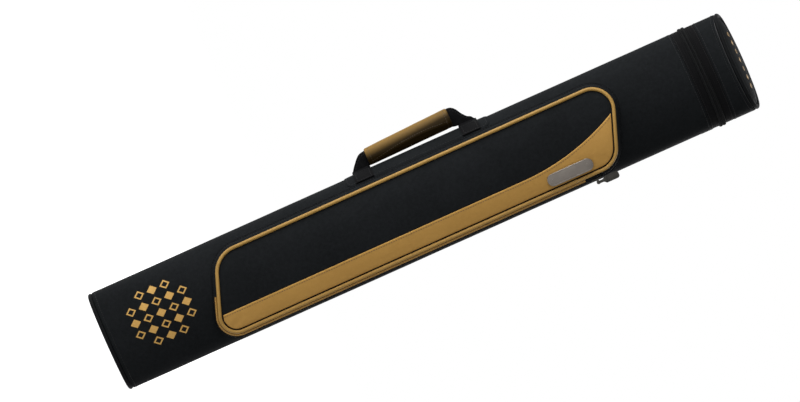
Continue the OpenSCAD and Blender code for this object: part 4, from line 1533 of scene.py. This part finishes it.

# %% [markdown]
# A box of stitches holds the foot of each ply, and a seam along the outer edge joins the two plies of a leg.
# The box of stitches stays on the case and the seam follows the handle.

# %% Straps
BOX = [(18, -9), (28, -9), (38, -9), (46, -9), (46, 0), (46, 9), (38, 9), (28, 9), (18, 9), (18, 0)]
STRAP_STITCH = (2.4, 0.7, 0.5)
for leg, (near_z, far_z, near, far) in LEGS.items():
    for side, word in ((-1, "front"), (1, "back")):
        rows = ply(near_z, far_z, near, far, side)
        strap = build(f"{leg}_strap_{word}", thicken(rows, STRAP_T), webbing, None,
                      ["strap_feet", "handle_webbing"], uv=ply_uv(rows))
        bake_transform(strap)
        box = []
        for a, z in BOX:
            a = radians(a)
            box.append((on_side(foot_r + STRAP_T / 2, side * a, (near_z + far_z) / 2 + z),
                        (-cos(a), side * sin(a), 0)))
        row(f"{leg}_box_{word}", [path_of(box, True)], "case", size=STRAP_STITCH)
        edge = [(Vector(line[-3]) + Vector((0, side * STRAP_T / 2, 0)), (0, side, 0)) for line in rows[21:-6]]
        row(f"{leg}_seam_{word}", [path_of(edge)], "handle", size=STRAP_STITCH)

# %% [markdown]
# ## The grip
#
# The grip is one piece of tan leather over soft foam, wrapped round the straps and overlapped. The roll is a
# tube of rings whose radius steps down along the seam; its ends turn inward. Cloth with a little pressure
# softens it, while the seam and the ends are pinned.

# %% Grip
def grip_middle(f):
    """Where the roll's axis lies at a share of its length."""
    return Vector((-77.8 - 3.4 * f, 0, grip_z - grip_l / 2 + grip_l * f))


def seam_at(f):
    """Angle of the overlap's edge, from the front toward the case."""
    return radians(66 - 150 * f + 122 * f * f)


AROUND = 56
WIDE, DEEP, TAPER, LAP_UP = 10.8, 10.3, 1.2, 1.3
SLIM_FRONT, SLIM_BACK = 0.42, 0.3  # how much of its depth the roll loses on its inner side
END_STITCH = (0.045, 0.955)
# Shares of the grip's length and of its radius where an end turns in.
TURNED_IN = [(0.018, 0.62), (0.006, 0.72), (0.0, 0.83), (0.004, 0.93), (0.014, 0.985)]
sections = TURNED_IN + [(0.014 + 0.972 * k / 48, 1.0) for k in range(1, 48)]
sections += [(1 - f, s) for f, s in reversed(TURNED_IN)]
rings, pins = [], []
for k, (f, s) in enumerate(sections):
    middle = grip_middle(f)
    a, b = (WIDE + TAPER * f) * s, (DEEP + TAPER * f) * s
    pull = sum(0.25 * exp(-((f - at) / 0.012) ** 2) for at in END_STITCH)
    ring = []
    for j in range(AROUND):
        past = (j + 0.5) / AROUND
        past = past ** 1.15 if j < AROUND - 3 else past
        turn = 2 * pi * past
        phi = seam_at(f) - turn
        over = LAP_UP * (1 - past ** 0.7) * s if j < AROUND - 2 else 0.0
        soft = over - pull + dent((turn * 9, 0, middle.z), 14, 0.14) + dent((turn * 9, 4, middle.z), 40, 0.2)
        slim = 1 - (SLIM_FRONT if cos(phi) > 0 else SLIM_BACK) * max(sin(phi), 0) ** 2
        ring.append((middle.x + (a + soft) * sin(phi), -(b + soft) * cos(phi) * slim, middle.z))
        if j in (0, 1, AROUND - 1) or not 4 < k < len(sections) - 5:
            pins.append(k * AROUND + j)
    rings.append(ring)
grip = build("leather_grip", skin(rings), grip_leather, None, sharp=50)
inflate(grip, pins, 0.4, 4.0)
settle(grip, "handle", ["handle_grip"])
grip_tree = surface(grip)

# %% [markdown]
# The seams follow the finished roll, so they are found by rays that come from outside after the leather has
# swelled: one row round each end, and one along the overlap.

# %% Grip stitches
def round_grip(f, phi):
    """A point on the roll and the way out of it there."""
    middle = grip_middle(f)
    out = Vector((sin(phi), -cos(phi), 0))
    hit = grip_tree.ray_cast(middle + out * 30, -out)[0]
    return tuple(hit if hit else middle + out * 10), tuple(out)


paths = [path_of([round_grip(f, seam_at(f) - radians(6 + 340 * i / 60)) for i in range(61)])
         for f in END_STITCH]
along = [0.05 + 0.9 * i / 60 for i in range(61)]
paths.append(path_of([round_grip(f, seam_at(f) - radians(16)) for f in along]))
row("grip_stitches", paths, "handle", 3.0, (2.2, 0.6, 0.45), brown_thread)

# %% [markdown]
# ## Inside the case
#
# With the lid open one sees the mouth plate and the ends of six tubes, with foam round them. The plates are
# stampings of the oval with round holes. The lid has its own slanted pad.

# %% Mouth plate, spacers and pads
BUTT = [(0, 17.75), (0, -17.75)]
SHAFT = [(30.087 * x, 12.75 * y) for x in (-1, 1) for y in (-1, 1)]
BUTT_R, SHAFT_R = 17.6, 12.6


def inner_box(node):
    """How far a solid lies inside the oval, and its lower and upper height in mm."""
    low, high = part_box(node)
    return half_w - high.x / MM, low.z / MM, high.z / MM


for node, name, finish in (("mouth_plate", "mouth", flock), ("low_spacer", "spacer_low", foam),
                           ("middle_spacer", "spacer_middle", foam)):
    inset, z0, z1 = inner_box(node)
    outlines = [[p[:2] for p in drawn_in(OVAL, inset, 0)]]
    outlines += [disc(BUTT_R, x, y, 40) for x, y in BUTT] + [disc(SHAFT_R, x, y, 32) for x, y in SHAFT]
    build(name, stamped(outlines, z1 - z0, 0.5, Matrix.Translation((0, 0, (z0 + z1) / 2))), finish, "case",
          [node])
inset, z0, z1 = inner_box("base_pad")
rounded_off = ((0.3, z0), (0, z0 + 0.4), (0, z1 - 1.2), (0.5, z1 - 0.3), (1.6, z1), (20, z1), (29, z1))
build("base_cushion", skin([drawn_in(OVAL, inset + d, z) for d, z in rounded_off]), foam, "case",
      ["base_pad"])
inset = inner_box("lid_pad")[0]
rings = []
for d, up in ((29, 0.0), (18, 0.05), (9, 0.4), (4, 1.0), (1.2, 1.9), (0.05, 3.0), (0.05, 5.9), (0.6, 5.98)):
    rings.append(drawn_in(OVAL, inset + d, lambda y: lid_top(y) - 6 + up + dent((d, y, 0), 20, 0.1)))
lid_cushion = build("lid_cushion", skin(rings), flock, "lid", ["lid_pad"])

# %% [markdown]
# The rigid parts keep their solid form. Their material slots get the procedural finishes.

# %% Finishes for the kept solids
kept = {"shell_plastic": shell_plastic, "tube_plastic": tube_plastic, "board": board, "foam": foam,
        "gunmetal": gunmetal, "black_leatherette": black_leatherette}
dressed = 0
for made in list(scene.objects):
    if made.type == "MESH" and made.name in frame["nodes"]:
        for place in made.material_slots:
            base = place.material.name.split(".")[0] if place.material else ""
            if base in kept:
                place.material = kept[base]
                dressed += 1
print("slots dressed:", dressed)

# %% [markdown]
# ## A printed ornament
#
# A small field of gold lozenges is printed low on the front, and a row of them on the end of the lid. They
# are thin patches laid on the cover by rays, so they follow its curve. The ornament is a made-up one.

# %% Printed lozenges
cover_tree, end_tree = surface(body_cover), surface(lid_end)


def lozenge(cx, cy, w, h, hole, low, top, laid):
    """A lozenge or a lozenge frame, as a thin patch. laid(u, v, up) puts a point on its surface."""
    corners = [(0, h / 2), (w / 2, 0), (0, -h / 2), (-w / 2, 0), (0, h / 2)]
    edge = [(a + (c - a) * i / 10, b + (d - b) * i / 10)
            for (a, b), (c, d) in zip(corners, corners[1:]) for i in range(10)]
    return skin([[laid(cx + u * s, cy + v * s, up) for u, v in edge]
                 for s, up in ((1.0, low), (1.0, top), (hole, top), (hole, low))], loop=True)


def on_front(x, z, up):
    """A point over the body's cover."""
    return x, lay_on(cover_tree, x, z, front_y(x)) - up, z


def on_lid_end(x, y, up):
    """A point over the lid's end."""
    return x, y, end_tree.ray_cast(Vector((x, y, 990)), -Z)[0].z + up


FULL, FRAME, LID_FRAME = 0.02, 0.62, 0.55  # share of a lozenge that is left open
PRINT_X, PRINT_Z, STEP_X, STEP_Z = -7, 77, 15, 17
shapes = [lozenge(PRINT_X + STEP_X * i, PRINT_Z + STEP_Z * k, 11.5, 13.5, FRAME if (i + k) % 2 else FULL,
                  -0.12, 0.05, on_front)
          for i in range(-2, 3) for k in range(-2, 3) if abs(i) + abs(k) < 4]
build("gold_lozenges", joined(*shapes), gold_print, "case")
shapes = [lozenge(11.5 * i, -6, 7.2, 8.8, LID_FRAME if i % 2 else FULL, -0.1, 0.06, on_lid_end)
          for i in range(-3, 4)]
build("lid_lozenges", joined(*shapes), gold_print, "lid")
